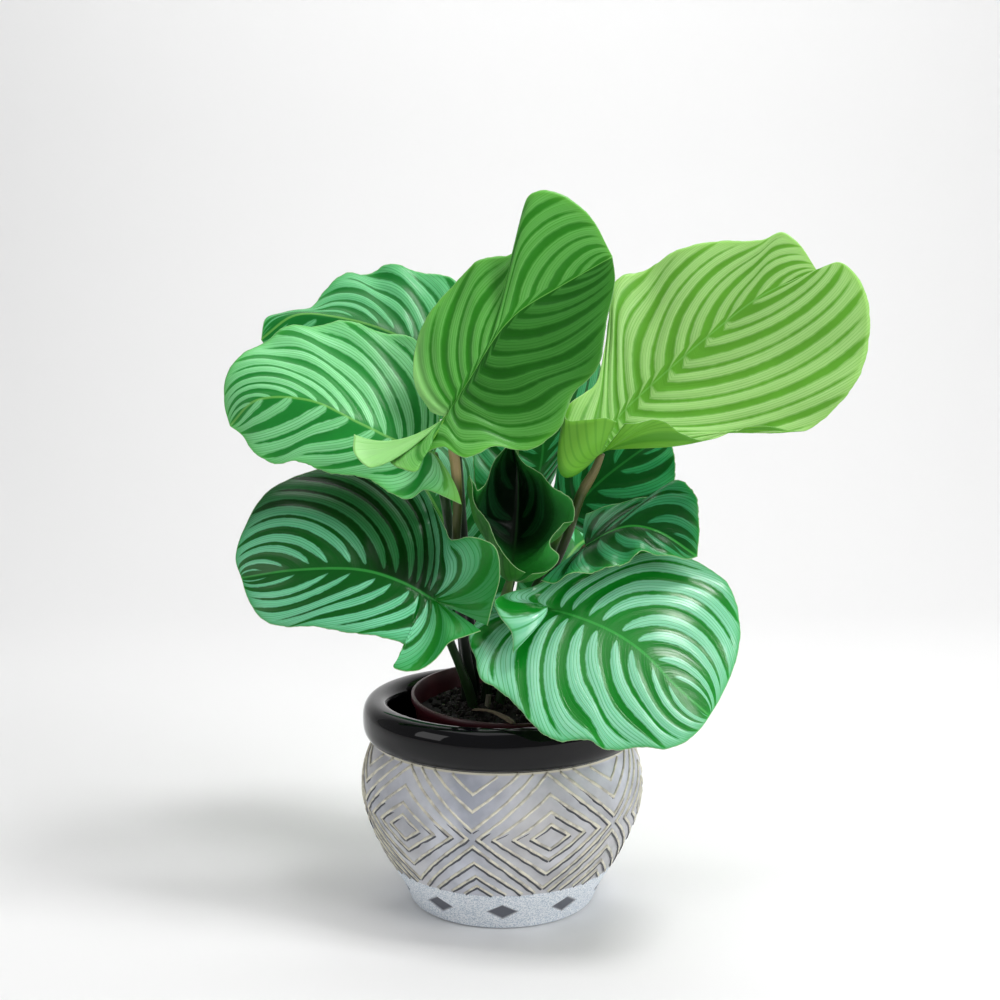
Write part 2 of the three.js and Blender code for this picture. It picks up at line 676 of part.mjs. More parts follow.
function makeStub(extra = 0) {
  const [x, y] = STUB.ground;
  const ground = groundHeightAt(STUB.ground);
  const curve = curveThrough([
    new THREE.Vector3(x, y, ground - PETIOLE.buried / 2 - extra),
    new THREE.Vector3(x, y, ground),
    new THREE.Vector3(x + STUB.leanOver, y + STUB.leanOver, ground + STUB.height),
  ]);
  return taperedTube(curve, () => STUB.radius + extra, STUB.sides, STUB.steps);
}

// The sheath bridges the low soil by the wall: it rests on the mound and on the nursery pot's edge.
function restOnSoil([x, y], i, path) {
  const edge = nurseryEdgeHeightAt(y) + SHEATH.clear;
  const mound = groundHeightAt(path[0]) + SHEATH.clear;
  return new THREE.Vector3(x, y, THREE.MathUtils.lerp(mound, edge, Math.min(i / (path.length - 2), 1)));
}

function makeSheath() {
  const { width, thickness, fold } = SHEATH;
  const section = new THREE.Shape([
    new THREE.Vector2(-thickness / 2, -width / 2),
    new THREE.Vector2(thickness / 2, -width / 2),
    new THREE.Vector2(thickness / 2 - fold, 0),
    new THREE.Vector2(thickness / 2, width / 2),
    new THREE.Vector2(-thickness / 2, width / 2),
    new THREE.Vector2(-thickness / 2 - fold, 0),
  ]);
  return new THREE.ExtrudeGeometry(section, {
    extrudePath: curveThrough(SHEATH.path.map(restOnSoil)), steps: SHEATH.steps,
  });
}

// ---------------------------------------------------------------------------------------------------
// Assembly

const plant = new THREE.Group();

function addMesh(name, geometry, finish) {
  const material = new THREE.MeshStandardMaterial({ metalness: 0, ...MATERIALS[finish] });
  const mesh = new THREE.Mesh(geometry, material);
  mesh.name = name;
  plant.add(mesh);
}

addMesh('decor_pot', makePot(), 'pot');
addMesh('nursery_pot', makeNurseryPot(), 'nursery');
addMesh('soil', geometryFromSolid(cutStemHoles(makeSoil()).subtract(solidOf(makeStub(GAP)))), 'soil');
for (const leaf of LEAVES) {
  addMesh(`${leaf.name}_leaf_blade`, makeBlade(leaf), leaf.material);
  addMesh(`${leaf.name}_leaf_petiole`, makePetiole(leaf), 'petiole');
}
addMesh('dry_sheath', makeSheath(), 'dry');
addMesh('petiole_stub', makeStub(), 'dry');

export default plant;
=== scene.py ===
# %% [markdown]
# # A potted calathea
# A calathea grows round, striped leaves on bare stalks. This one stands in a thin plastic grow pot, loose
# inside a glazed pot with a rolled black rim and a carved grey belly. The lesson builds each piece as a
# surface worked out with numpy, and gives each one the finish of the real thing. It starts from the packed
# model, which fixes every place and size, and swaps its plain solids for finer ones in the same spots.

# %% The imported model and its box
import json
import math

import bpy
import numpy as np
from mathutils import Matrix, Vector

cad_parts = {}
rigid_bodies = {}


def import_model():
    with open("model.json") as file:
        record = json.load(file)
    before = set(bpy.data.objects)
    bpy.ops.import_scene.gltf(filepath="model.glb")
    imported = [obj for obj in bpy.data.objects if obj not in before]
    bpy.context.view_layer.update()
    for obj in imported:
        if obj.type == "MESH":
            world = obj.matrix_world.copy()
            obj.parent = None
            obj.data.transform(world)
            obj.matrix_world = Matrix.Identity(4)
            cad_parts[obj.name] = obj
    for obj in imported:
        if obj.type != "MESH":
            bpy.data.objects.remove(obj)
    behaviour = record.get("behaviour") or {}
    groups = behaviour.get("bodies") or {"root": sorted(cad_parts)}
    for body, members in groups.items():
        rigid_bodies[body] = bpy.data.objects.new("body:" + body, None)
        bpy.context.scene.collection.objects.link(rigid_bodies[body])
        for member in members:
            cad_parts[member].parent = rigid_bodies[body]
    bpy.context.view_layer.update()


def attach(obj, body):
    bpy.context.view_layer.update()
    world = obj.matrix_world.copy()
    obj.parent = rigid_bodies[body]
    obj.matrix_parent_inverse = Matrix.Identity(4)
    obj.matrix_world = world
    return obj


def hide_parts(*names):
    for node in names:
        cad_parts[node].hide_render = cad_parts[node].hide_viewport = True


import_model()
MM = 0.001

# %% [markdown]
# ## The viewer and the camera
# The photograph was taken from a little above the pot's rim, about a metre in front of it. A camera is set
# by its place, its tilt and its focal length. The leaves below are also laid out as this viewer sees them,
# so the eye comes first.

# %% Camera
EYE = np.array([0.0, -1000.0, 409.0])
TILT_DOWN = 6.2              # degrees below the horizon
FOCAL_PX = 1361.0            # for an image 1000 px wide
IMAGE_PX = 1000.0
SENSOR_MM = 36.0
CENTRE_PX = 502.2            # where the pot's axis stands in the image


def make_camera():
    """A camera with focal length = sensor * focal px / image px, shifted so the axis lands off centre."""
    data = bpy.data.cameras.new("camera")
    data.sensor_width = SENSOR_MM
    data.lens = SENSOR_MM * FOCAL_PX / IMAGE_PX
    data.shift_x = (IMAGE_PX / 2 - CENTRE_PX) / IMAGE_PX
    camera = bpy.data.objects.new("camera", data)
    camera.location = EYE * MM
    camera.rotation_euler = (math.radians(90 - TILT_DOWN), 0, 0)
    bpy.context.scene.collection.objects.link(camera)
    bpy.context.scene.camera = camera
    return camera


print("lens", round(make_camera().data.lens, 1), "mm")

# %% [markdown]
# ## Meshes from arrays
# A surface is a function of two parameters, sampled on a grid. Two helpers make the faces of a grid, open or
# closed, and others turn points and faces into an object. Numpy keeps this fast, with no loop over vertices.

# %% Faces of a grid
def grid_faces(rows, columns, closed_columns=False):
    """Quads of a grid of rows x columns points, numbered row by row. A closed grid joins its last column to
    its first."""
    row = np.arange(rows - 1)[:, None]
    column = np.arange(columns if closed_columns else columns - 1)[None, :]
    a = row * columns + column
    b = row * columns + (column + 1) % columns
    return np.stack([a, b, b + columns, a + columns], -1).reshape(-1, 4)


def closed_faces(rows, columns):
    """Faces of a grid that joins round its columns, with a fan over each end. The middles of the fans are
    the two points after the grid's own, at the first row's end and then at the last row's."""
    side = np.arange(columns)
    following = (side + 1) % columns
    last = (rows - 1) * columns
    first_fan = np.stack([following, side, np.full(columns, rows * columns)], -1)
    last_fan = np.stack([last + side, last + following, np.full(columns, rows * columns + 1)], -1)
    quads = grid_faces(rows, columns, closed_columns=True)
    return [*quads.tolist(), *first_fan.tolist(), *last_fan.tolist()]


print("a grid of 3 x 4 points has", len(grid_faces(3, 4)), "faces, and closed", len(closed_faces(3, 4)))

# %% Objects and their maps
def make_piece(name, points, faces, node=None, smooth=True):
    """A mesh object from points in millimetres and faces, riding on the part's one body."""
    mesh = bpy.data.meshes.new(name)
    mesh.from_pydata((np.asarray(points).reshape(-1, 3) * MM).tolist(), [], faces)
    mesh.validate()
    mesh.update()
    if smooth:
        mesh.shade_smooth()
    piece = bpy.data.objects.new(name, mesh)
    bpy.context.scene.collection.objects.link(piece)
    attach(piece, "root")
    if node:
        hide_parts(node)
    return piece


def give_uv(piece, name, values):
    """Stores one pair of numbers for each corner of each face, as a UV map."""
    layer = piece.data.uv_layers.new(name=name)
    layer.data.foreach_set("uv", np.asarray(values, np.float32).ravel())


def corner_vertices(piece):
    """The vertex number at each face corner."""
    numbers = np.empty(len(piece.data.loops), np.int64)
    piece.data.loops.foreach_get("vertex_index", numbers)
    return numbers


def unit(vectors):
    """Vectors divided by their lengths."""
    return vectors / np.maximum(np.linalg.norm(vectors, axis=-1, keepdims=True), 1e-12)


print("(3, 0, 4) points along", unit(np.array([3.0, 0.0, 4.0])))

# %% [markdown]
# ## Materials from nodes
# One small function adds a node with its settings and links. Colours are written as sRGB hex values, as a
# designer reads them off a swatch, and are turned to the linear values that the shader works in. A texture's
# scale says how many of its grains fit in a metre, so it is worked out from the grain's size in millimetres.

# %% Node helper
COLOURS = dict(data_type="RGBA", output=2)          # a Mix node of colours, with inputs 0, 6 and 7
EASED = dict(interpolation_type="SMOOTHSTEP")       # a Map Range node that eases in and out
NOISE_SPAN = (0.3, 0.7)                             # most of a noise texture's values lie in here


def linear(hex_colour):
    """sRGB hex to linear RGBA: a channel c gives c / 12.92 up to 0.04045, and ((c + 0.055) / 1.055)^2.4
    above it."""
    channels = np.array([int(hex_colour[i:i + 2], 16) for i in (1, 3, 5)]) / 255
    low = channels / 12.92
    high = ((channels + 0.055) / 1.055) ** 2.4
    return (*np.where(channels <= 0.04045, low, high).tolist(), 1.0)


def per_metre(grain):
    """A texture's scale for grains of this size in mm."""
    return 1 / (grain * MM)


def add(tree, kind, *inputs, output=0, **settings):
    """Adds a node of a kind such as "Math" and sets its properties. Its inputs are values or sockets, in
    their order, or one dictionary by name or number. Gives back one of its outputs."""
    node = tree.nodes.new("ShaderNode" + kind)
    for key, value in settings.items():
        setattr(node, key, value)
    named = inputs[0] if inputs and isinstance(inputs[0], dict) else dict(enumerate(inputs))
    for key, value in named.items():
        if isinstance(value, bpy.types.NodeSocket):
            tree.links.new(value, node.inputs[key])
        else:
            node.inputs[key].default_value = value
    return node.outputs[output]


def new_material(name, **shader):
    """A material with one Principled shader. Returns the material, its tree and the shader."""
    material = bpy.data.materials.new(name)
    material.use_nodes = True
    tree = material.node_tree
    principled = tree.nodes["Principled BSDF"]
    for key, value in shader.items():
        principled.inputs[key.replace("_", " ")].default_value = value
    return material, tree, principled


print("mid grey is", round(linear("#808080")[0], 3), "in linear light")

# %% [markdown]
# ## Floor and light
# A product photograph has a pale sweep and soft light from large panels. The sweep is one sheet, flat under
# the pot and curving up behind it, so no horizon shows. A small panel overhead puts the sheen on the leaves,
# two large ones stand off to the sides so that the floor is lit evenly, and one lights the wall behind.

# %% Floor
FLOOR_HALF = 3500.0          # half width of the sweep
SWEEP_START = 1100.0         # how far behind the pot it starts to rise
SWEEP_RADIUS, SWEEP_STEPS = 900.0, 24


def make_floor():
    """A profile carried sideways: flat from the front, then a quarter circle, then upright."""
    turn = np.linspace(0, np.pi / 2, SWEEP_STEPS)
    y = np.concatenate([[-FLOOR_HALF], SWEEP_START + SWEEP_RADIUS * np.sin(turn)])
    z = np.concatenate([[0.0], SWEEP_RADIUS * (1 - np.cos(turn))])
    y = np.append(y, SWEEP_START + SWEEP_RADIUS)
    z = np.append(z, FLOOR_HALF)
    points = np.empty((len(y), 2, 3))
    points[..., 0] = [-FLOOR_HALF, FLOOR_HALF]
    points[..., 1] = y[:, None]
    points[..., 2] = z[:, None]
    mesh = bpy.data.meshes.new("floor")
    mesh.from_pydata((points.reshape(-1, 3) * MM).tolist(), [], grid_faces(len(y), 2).tolist())
    mesh.shade_smooth()
    material, _, _ = new_material("painted_sweep", Base_Color=linear("#eeeeee"), Roughness=0.8)
    mesh.materials.append(material)
    floor = bpy.data.objects.new("floor", mesh)
    bpy.context.scene.collection.objects.link(floor)
    return floor


print("the floor has", len(make_floor().data.polygons), "faces")

# %% Lights
PANELS = {                   # where each panel stands, what it points at, its size in mm, and its watts
    "skylight": ((640, -170, 1700), (20, -60, 230), (420, 420), 13),
    "window_right": ((2550, -1700, 1530), (0, 0, 250), (1530, 1870), 53),
    "sky_above": ((-100, 200, 2000), (0, 0, 200), (1600, 1600), 9),
    "fill_left": ((-2550, -1350, 1350), (0, 0, 250), (1350, 1650), 13),
    "back_wash": ((0, 900, 2300), (0, 2000, 900), (2400, 700), 15),
}
WORLD_LIGHT = 0.25           # even light from all round


def make_panel(name, stand, aim, size, watts):
    """A rectangular soft light at one point, facing another, both in millimetres."""
    data = bpy.data.lights.new(name, "AREA")
    data.shape = "RECTANGLE"
    data.size, data.size_y = (side * MM for side in size)
    data.energy = watts
    panel = bpy.data.objects.new(name, data)
    here, there = np.array(stand, float), np.array(aim, float)
    panel.location = here * MM
    panel.rotation_euler = Vector(there - here).to_track_quat("-Z", "Y").to_euler()
    bpy.context.scene.collection.objects.link(panel)


for panel_name, panel_settings in PANELS.items():
    make_panel(panel_name, *panel_settings)
bpy.context.scene.view_settings.view_transform = "Standard"
world = bpy.data.worlds.new("studio")
bpy.context.scene.world = world
world.use_nodes = True
world.node_tree.nodes["Background"].inputs["Color"].default_value = (1, 1, 1, 1)
world.node_tree.nodes["Background"].inputs["Strength"].default_value = WORLD_LIGHT
print(len(PANELS), "panels")

# %% [markdown]
# ## Curves through points
# A leaf's midrib and margins are smooth lines through a few points. The centripetal Catmull-Rom curve goes
# through all of them and never loops back on itself.

# %% Curves
def place(points):
    """[right, up, near] in mm to x, y, z: the point (right, 0, up) is moved near / 1000 of the way to the
    eye, which stands 1000 mm off."""
    right, up, near = np.asarray(points, float).T
    flat = np.stack([right, np.zeros_like(right), up], -1)
    return flat + (EYE - flat) * (near / -EYE[1])[:, None]


def curve_samples(points, per_span=120):
    """Dense points on the centripetal Catmull-Rom curve. Knots are the square roots of the chords, tangents
    are Neville slopes at the knots, and each span is a cubic Hermite."""
    p = np.asarray(points, float)
    p = np.vstack([2 * p[0] - p[1], p, 2 * p[-1] - p[-2]])
    d = np.sqrt(np.linalg.norm(np.diff(p, axis=0), axis=1))[:, None]
    x0, x1, x2, x3 = p[:-3], p[1:-2], p[2:-1], p[3:]
    d0, d1, d2 = d[:-2], d[1:-1], d[2:]
    start = ((x1 - x0) / d0 - (x2 - x0) / (d0 + d1) + (x2 - x1) / d1) * d1
    end = ((x2 - x1) / d1 - (x3 - x1) / (d1 + d2) + (x3 - x2) / d2) * d1
    u = np.linspace(0, 1, per_span, endpoint=False)[None, :, None]
    x1, x2, start, end = (a[:, None, :] for a in (x1, x2, start, end))
    spans = x1 + start * u + (3 * (x2 - x1) - 2 * start - end) * u**2 + (2 * (x1 - x2) + start + end) * u**3
    return np.vstack([spans.reshape(-1, 3), p[-2]])


def along(samples, share):
    """Points at shares of the length of a sampled curve, and the curve's whole length."""
    run = np.concatenate([[0], np.cumsum(np.linalg.norm(np.diff(samples, axis=0), axis=1))])
    at = np.asarray(share) * run[-1]
    return np.stack([np.interp(at, run, samples[:, i]) for i in range(3)], -1), run[-1]


line, length = along(curve_samples([[0, 0, 0], [10, 0, 0], [20, 0, 0]]), [0, 0.5, 1])
print("a straight curve is", length, "mm long with its middle at", line[1])

# %% [markdown]
# ## Where the leaves are
# Each leaf is known by its midrib, from base to tip, and by its two margins, from the end of a basal lobe
# to the tip. The points are millimetres seen from the front: right, up, and near, towards the eye. Some
# leaves also say how their side veins fan out, how the blade swells, bulges or sags between them, and how
# their stripes are counted and joined. The steps below explain each of these words.

# %% Leaf points
LEAVES = {
    "top": dict(
        ground=[-22, 3], petiole=[[-29, 200, 10], [-34, 260, 18], [-33, 305, 24], [-36, 338, 32]],
        midrib=[[-41, 362, 40], [-16, 402, 34], [4, 433, 26], [36, 453, 20], [80, 478, 16]],
        left=[[-53, 366, 36], [-64, 386, 30], [-62, 419, 18], [-45, 447, 10], [-18, 474, 6], [7, 481, 6],
              [15, 506, 16], [22, 523, 20], [39, 524, 20], [63, 507, 18], [80, 478, 16]],
        right=[[-109, 349, 60], [-109, 335, 70], [-97, 324, 74], [-87, 331, 56], [-77, 324, 68],
               [-64, 321, 72], [-58, 335, 58], [-44, 340, 58], [-27, 331, 62], [-5, 340, 58], [20, 338, 56],
               [42, 353, 50], [52, 378, 44], [70, 398, 38], [76, 430, 30], [82, 460, 22], [80, 478, 16]],
        fan_right=2.6, sag_right=([-4, -4, -14], 0, 0.14), joined=0.5),
    "right": dict(
        ground=[0, 12], petiole=[[20, 215, 0], [41, 256, 6], [49, 276, 12], [58, 304, 18], [68, 322, 23]],
        midrib=[[73, 335, 28], [82, 358, 14], [109, 385, 6], [154, 424, 8], [190, 451, 14], [229, 467, 20]],
        left=[[84, 358, 60], [76, 361, 62], [67, 360, 62], [56, 359, 58], [48, 359, 52], [46, 365, 42],
              [52, 373, 30], [69, 388, 12], [77, 430, 0], [83, 461, -8], [105, 469, -12], [124, 481, -12],
              [156, 489, -8], [189, 490, 0], [202, 495, 4], [214, 488, 10], [229, 467, 20]],
        right=[[90, 357, 60], [98, 357, 60], [112, 360, 56], [120, 358, 52], [133, 349, 46], [150, 344, 42],
               [175, 353, 40], [195, 355, 40], [221, 351, 40], [247, 371, 38], [264, 398, 36],
               [268, 432, 32], [263, 455, 28], [252, 470, 24], [243, 474, 22], [229, 467, 20]],
        fan_right=2.2, sag_left=([-30, -14, -56], 0.13, 0.09), joined=0.5),
    "left": dict(
        ground=[-27, 12], petiole=[[-32, 220, -6], [-38, 270, -5], [-43, 305, 3]],
        midrib=[[-50, 335, 18], [-77, 344, 26], [-104, 357, 30], [-141, 374, 32], [-180, 374, 30],
                [-200, 355, 24]],
        left=[[-30, 297, 48], [-46, 304, 44], [-58, 308, 42], [-70, 301, 42], [-84, 306, 42],
              [-98, 316, 42], [-126, 320, 42], [-152, 329, 40], [-167, 327, 38], [-182, 335, 34],
              [-191, 348, 28], [-200, 355, 24]],
        right=[[-46, 362, 6], [-52, 392, -8], [-65, 419, -20], [-90, 424, -24], [-118, 432, -26],
               [-138, 428, -22], [-157, 427, -18], [-173, 417, -10], [-188, 409, 0], [-202, 391, 10],
               [-204, 372, 18], [-200, 355, 24]],
        joined=0.4),
    "back_left": dict(
        ground=[-21, 23], petiole=[[-26, 240, -20], [-32, 320, -42], [-36, 370, -54]],
        midrib=[[-38, 398, -60], [-78, 422, -58], [-117, 434, -54], [-150, 436, -50], [-176, 418, -44]],
        left=[[-20, 380, -58], [-45, 360, -48], [-90, 362, -42], [-130, 378, -40], [-162, 398, -40],
              [-176, 418, -44]],
        right=[[-20, 420, -78], [-34, 460, -92], [-64, 468, -96], [-82, 472, -96], [-98, 466, -94],
               [-112, 466, -90], [-131, 452, -78], [-140, 441, -68], [-158, 438, -58], [-172, 434, -50],
               [-176, 418, -44]]),
    "low_left": dict(
        ground=[-22, -7], petiole=[[-36, 186, 18], [-46, 212, 30]],
        midrib=[[-50, 225, 42], [-75, 239, 44], [-104, 248, 42], [-153, 248, 32], [-194, 242, 16]],
        left=[[-16, 202, 76], [-27, 198, 80], [-39, 193, 82], [-46, 185, 84], [-55, 177, 84],
              [-68, 171, 84], [-82, 174, 82], [-77, 184, 77], [-73, 192, 72], [-85, 196, 69],
              [-111, 200, 64], [-139, 205, 58], [-160, 205, 52], [-178, 210, 44], [-190, 228, 28],
              [-194, 242, 16]],
        right=[[-11, 206, 72], [-7, 222, 76], [-2, 244, 76], [-6, 266, 70], [-22, 273, 62], [-38, 271, 44],
               [-48, 291, 6], [-64, 314, -14], [-100, 326, -25], [-140, 323, -25], [-173, 306, -18],
               [-192, 278, -4], [-198, 257, 8], [-194, 242, 16]],
        fan_left=2.2, fan_right=2.2),
    "inner": dict(
        ground=[-12, 3], petiole=[[-6, 190, 4], [0, 218, 12]],
        midrib=[[6, 242, 24], [10, 272, -2], [12, 305, -10], [12, 332, -6], [12, 352, 0]],
        left=[[17, 246, 61], [10, 250, 61], [3, 257, 60], [-4, 270, 54], [-14, 288, 46], [-21, 303, 42],
              [-25, 319, 40], [-18, 307, 34], [-9, 322, 26], [0, 337, 16], [12, 352, 0]],
        right=[[22, 245, 62], [33, 247, 64], [42, 258, 62], [36, 268, 57], [44, 283, 48], [54, 284, 42],
               [50, 300, 36], [33, 315, 28], [15, 330, 16], [8, 342, 6], [12, 352, 0]],
        swell_left=0.35, swell_right=0.1, bulge=-0.2),
    "middle_right": dict(
        ground=[9, 8], petiole=[[26, 205, 2], [44, 238, 8], [55, 254, 17]],
        midrib=[[62, 266, 30], [78, 276, 30], [95, 281, 30], [115, 277, 34], [145, 258, 40]],
        left=[[62, 290, 6], [84, 298, 4], [108, 303, 6], [122, 311, 8], [133, 315, 12], [143, 303, 20],
              [146, 282, 30], [145, 258, 40]],
        right=[[29, 240, 50], [38, 238, 54], [48, 244, 57], [70, 247, 55], [93, 254, 53], [105, 262, 50],
               [117, 259, 50], [128, 258, 46], [138, 256, 43], [145, 258, 40]]),
    "back_right": dict(
        ground=[-2, 22], petiole=[[14, 210, -20], [34, 255, -26]],
        midrib=[[48, 288, -28], [70, 312, -32], [95, 332, -38], [122, 350, -46]],
        left=[[38, 310, -44], [48, 345, -56], [80, 362, -60], [105, 362, -54], [122, 350, -46]],
        right=[[62, 274, -14], [86, 277, -14], [110, 288, -18], [126, 308, -26], [127, 332, -36],
               [122, 350, -46]]),
    "low_right": dict(
        ground=[-2, -8], petiole=[[6, 170, 14], [20, 200, 30]],
        midrib=[[30, 220, 44], [55, 213, 54], [83, 201, 68], [106, 185, 82], [130, 160, 98],
                [156, 137, 110]],
        left=[[8, 185, 88], [7, 200, 84], [-2, 213, 75], [-6, 224, 64], [4, 231, 54], [26, 237, 38],
              [60, 252, 26], [100, 262, 18], [128, 263, 16], [150, 252, 24], [168, 236, 34],
              [178, 206, 54], [175, 180, 74], [164, 151, 98], [156, 137, 110]],
        right=[[-18, 212, 54], [-25, 197, 64], [-20, 181, 76], [-16, 165, 88], [-4, 158, 93], [7, 149, 100],
               [22, 131, 112], [33, 122, 120], [45, 118, 123], [64, 118, 123], [78, 111, 127],
               [106, 113, 127], [122, 111, 128], [138, 117, 125], [150, 128, 118], [156, 137, 110]],
        sag_left=([28, -10, 15], 0, 0.1), pairs_left=6, pairs_right=6, lead_left=3.0, start=0.7),
    "centre_back": dict(
        ground=[-12, 14], petiole=[[2, 220, -20], [14, 270, -34]],
        midrib=[[24, 302, -44], [30, 345, -58], [18, 385, -76], [2, 410, -96], [-12, 424, -118]],
        left=[[14, 290, -38], [-2, 288, -34], [-18, 306, -38], [-22, 340, -56], [-24, 372, -82],
              [-42, 404, -110], [-12, 424, -118]],
        right=[[32, 304, -58], [52, 345, -76], [74, 384, -86], [64, 414, -104], [28, 430, -118],
               [-12, 424, -118]]),
    "rear_left": dict(
        ground=[-11, 31], petiole=[[-16, 200, -40]],
        midrib=[[-28, 248, -52], [-46, 290, -88], [-66, 318, -124], [-96, 316, -158]],
        left=[[-32, 205, -64], [-58, 198, -58], [-90, 216, -66], [-124, 244, -96], [-128, 284, -136],
              [-96, 316, -158]],
        right=[[-20, 206, -68], [2, 216, -74], [6, 262, -92], [0, 308, -120], [-24, 340, -146],
               [-62, 344, -162], [-96, 316, -158]]),
    "rear_right": dict(
        ground=[7, 26], petiole=[[20, 192, -40], [34, 218, -60]],
        midrib=[[38, 240, -56], [58, 268, -92], [80, 274, -126], [104, 256, -156]],
        left=[[20, 214, -52], [10, 224, -74], [16, 262, -92], [28, 294, -120], [54, 306, -146],
              [86, 292, -162], [104, 256, -156]],
        right=[[48, 208, -46], [68, 204, -52], [100, 214, -66], [128, 230, -96], [124, 244, -132],
               [104, 256, -156]]),
}
print(len(LEAVES), "leaves")

# %% [markdown]
# ## The blade's surface
# A calathea blade is ruled by its side veins: they leave the midrib, bow towards the base and run out to
# the margin. So the surface is made of veins. Each is a quadratic Bezier curve, and the grid's two
# parameters are the vein's place along the leaf and the place along the vein. Stripes and pleats then
# follow the veins for free.

# %% Surface of veins
ARCH = 0.14                  # how far a vein bows towards the base, as a share of its length
BULGE = 0.05                 # how far it swells off the blade
SWELL_FADE = 0.1             # a funnel's swell grows from nothing over this share of the margin
FAN = 1.7                    # above 1, more veins leave near the base
NO_SAG = ([0, 0, 0], 0, 1)
SLOPE_STEP = 1e-3            # share of the midrib over which its slope is taken


def facing(leaf):
    """The way the whole blade faces: the area vector of its outline, on the side of across x along."""
    outline = np.vstack([place(leaf["left"]), place(leaf["right"])[::-1]])
    normal = unit(np.cross(outline, np.roll(outline, -1, axis=0)).sum(0))
    across = outline[-2] - outline[1]
    lengthwise = outline[len(outline) // 2] - place(leaf["midrib"])[0]
    return normal * np.sign(normal @ np.cross(across, lengthwise))


def half_blade(leaf, side, t, s):
    """Points root (1-s)^2 + control 2s(1-s) + end s^2. The root lies on the midrib at t^fan, the end on the
    margin at t. The control is the middle of the two, moved back by the arch, off the blade by the bulge
    and outwards by the swell, each times the vein's length. Where a lobe is cupped or folded it is also
    drawn aside by the sag, which fades as exp(-((t - at) / width)^2)."""
    midrib = curve_samples(place(leaf["midrib"]))
    margin = curve_samples(place(leaf[side]))
    u = t ** leaf.get("fan_" + side, FAN)
    root, midrib_length = along(midrib, u)
    after, _ = along(midrib, np.minimum(u + SLOPE_STEP, 1))
    before, _ = along(midrib, np.maximum(u - SLOPE_STEP, 0))
    tangent = unit(after - before)
    end, margin_length = along(margin, t)
    chord = end - root
    vein = np.linalg.norm(chord, axis=1, keepdims=True)
    direction = unit(chord)
    normal = facing(leaf)
    back = -(tangent - (tangent * direction).sum(1, keepdims=True) * direction)
    outward = unit(chord - (chord @ normal)[:, None] * normal)
    swell = leaf.get("swell_" + side, 0) * (1 - np.exp(-(t / SWELL_FADE) ** 2))[:, None]
    by, at, width = leaf.get("sag_" + side, NO_SAG)
    sag = np.array(by) * np.exp(-((t - at) / width) ** 2)[:, None]
    control = (root + end) / 2 + sag + vein * (
        ARCH * back + leaf.get("bulge", BULGE) * normal + swell * outward)
    s = s[None, :, None]
    points = (1 - s) ** 2 * root[:, None] + 2 * s * (1 - s) * control[:, None] + s**2 * end[:, None]
    return points, (midrib_length + margin_length) / 2


demo, demo_size = half_blade(LEAVES["left"], "left", np.linspace(0, 1, 5), np.linspace(0, 1, 4))
print("half blade grid", demo.shape[:2], "about", round(float(demo_size)), "mm long")

# %% [markdown]
# ## Stripes as coordinates
# Dark stripes, wide and narrow by turns, leave the midrib and sweep towards the tip, and pale bands lie
# between them. If a UV map counts pairs of stripes along the leaf, a shader can draw them sharp at any size.
# The same map says how much room a band has: none at the midrib, where dark tissue joins up, and more at the
# margin, where the stripes run out to points. A second map holds the distances from midrib and margin.

# %% Stripes
STRIPE_PAIR = 33.0           # mm from one wide stripe to the next
WIDE, NARROW = 4.3, 1.8      # half widths of the dark stripes, in mm
SWEEP = 1.3                  # above 1, the stripes turn towards the tip late on their way to the margin
LEAD = 2.2                   # how far they run ahead towards the tip at the margin
START = 0.3                  # where the count of stripes starts at the base, in pairs
TAPER, TAPER_REACH = 4.0, 5.0   # mm that a band gains on each side at the margin, and over how many mm
RIB_NEAR, RIB_FAR = (5.0, 2.5), (6.0, 11.0)   # mm that a band loses near the midrib, and over how many mm


def stripe_phase(leaf, side, size, t, s):
    """Pairs of stripes counted at each point: pairs * ((1 - w) t + w (1 - (1 - t)^(1 / lead))), with
    w = s^sweep. At the margin a stripe is met later than at the midrib, so it sweeps towards the tip."""
    pairs = leaf.get("pairs_" + side, max(2, round(size / STRIPE_PAIR)))
    w = s[None, :] ** SWEEP
    ahead = 1 - (1 - t) ** (1 / leaf.get("lead_" + side, LEAD))
    return leaf.get("start", START) + pairs * ((1 - w) * t[:, None] + w * ahead[:, None])


def band_room(joined, from_midrib, to_margin):
    """Half the width that a pale band has at each point, in pairs: its own half width, more by
    taper * exp(-d / reach) at distance d of the margin, and less by two such terms near the midrib, times
    how much the leaf's stripes are joined there."""
    half_band = (STRIPE_PAIR / 2 - WIDE - NARROW) / 2
    taper = TAPER * np.exp(-to_margin / TAPER_REACH)
    lost = sum(loss * np.exp(-from_midrib / reach) for loss, reach in (RIB_NEAR, RIB_FAR))
    return (half_band + taper - joined * lost) / STRIPE_PAIR


print("a pale band is", STRIPE_PAIR / 2 - WIDE - NARROW, "mm wide in the middle of the blade")

# %% [markdown]
# ## The blade as a slab
# A living blade is half a millimetre thick and never flat. Its margin ripples and is a little uneven, the
# pale bands rise as pleats between the dark stripes, and the midrib is a groove above and a keel below. All
# of these are pushes along the surface's normal, so they can be added to the grid one after the other.

# %% Middle surface of a blade
ROWS = 190                   # veins sampled along the leaf
HALF = 28                    # samples from midrib to margin
CROWD = 0.85                 # below 1, the samples stand closer towards the margin
RIPPLE, RIPPLES = 1.6, 5     # height in mm and number of the ripples along each margin
RIPPLE_PHASE = 1.1           # sets the two margins apart, in radians
PLEAT = 0.42                 # rise of the bands above the stripes, in mm
PLEAT_FROM_RIB, PLEAT_FROM_MARGIN, PLEAT_FROM_TIP = 12.0, 8.0, 0.2   # where it fades: mm, mm, share
GROOVE, KEEL, KEEL_WIDTH = 0.35, 1.3, 1.5   # depths of the midrib above and below at the base, and its width
RAGGED, RAGGED_WAVES = 0.30, (17, 31, 53)   # unevenness of the margin in mm, and its waves along the leaf


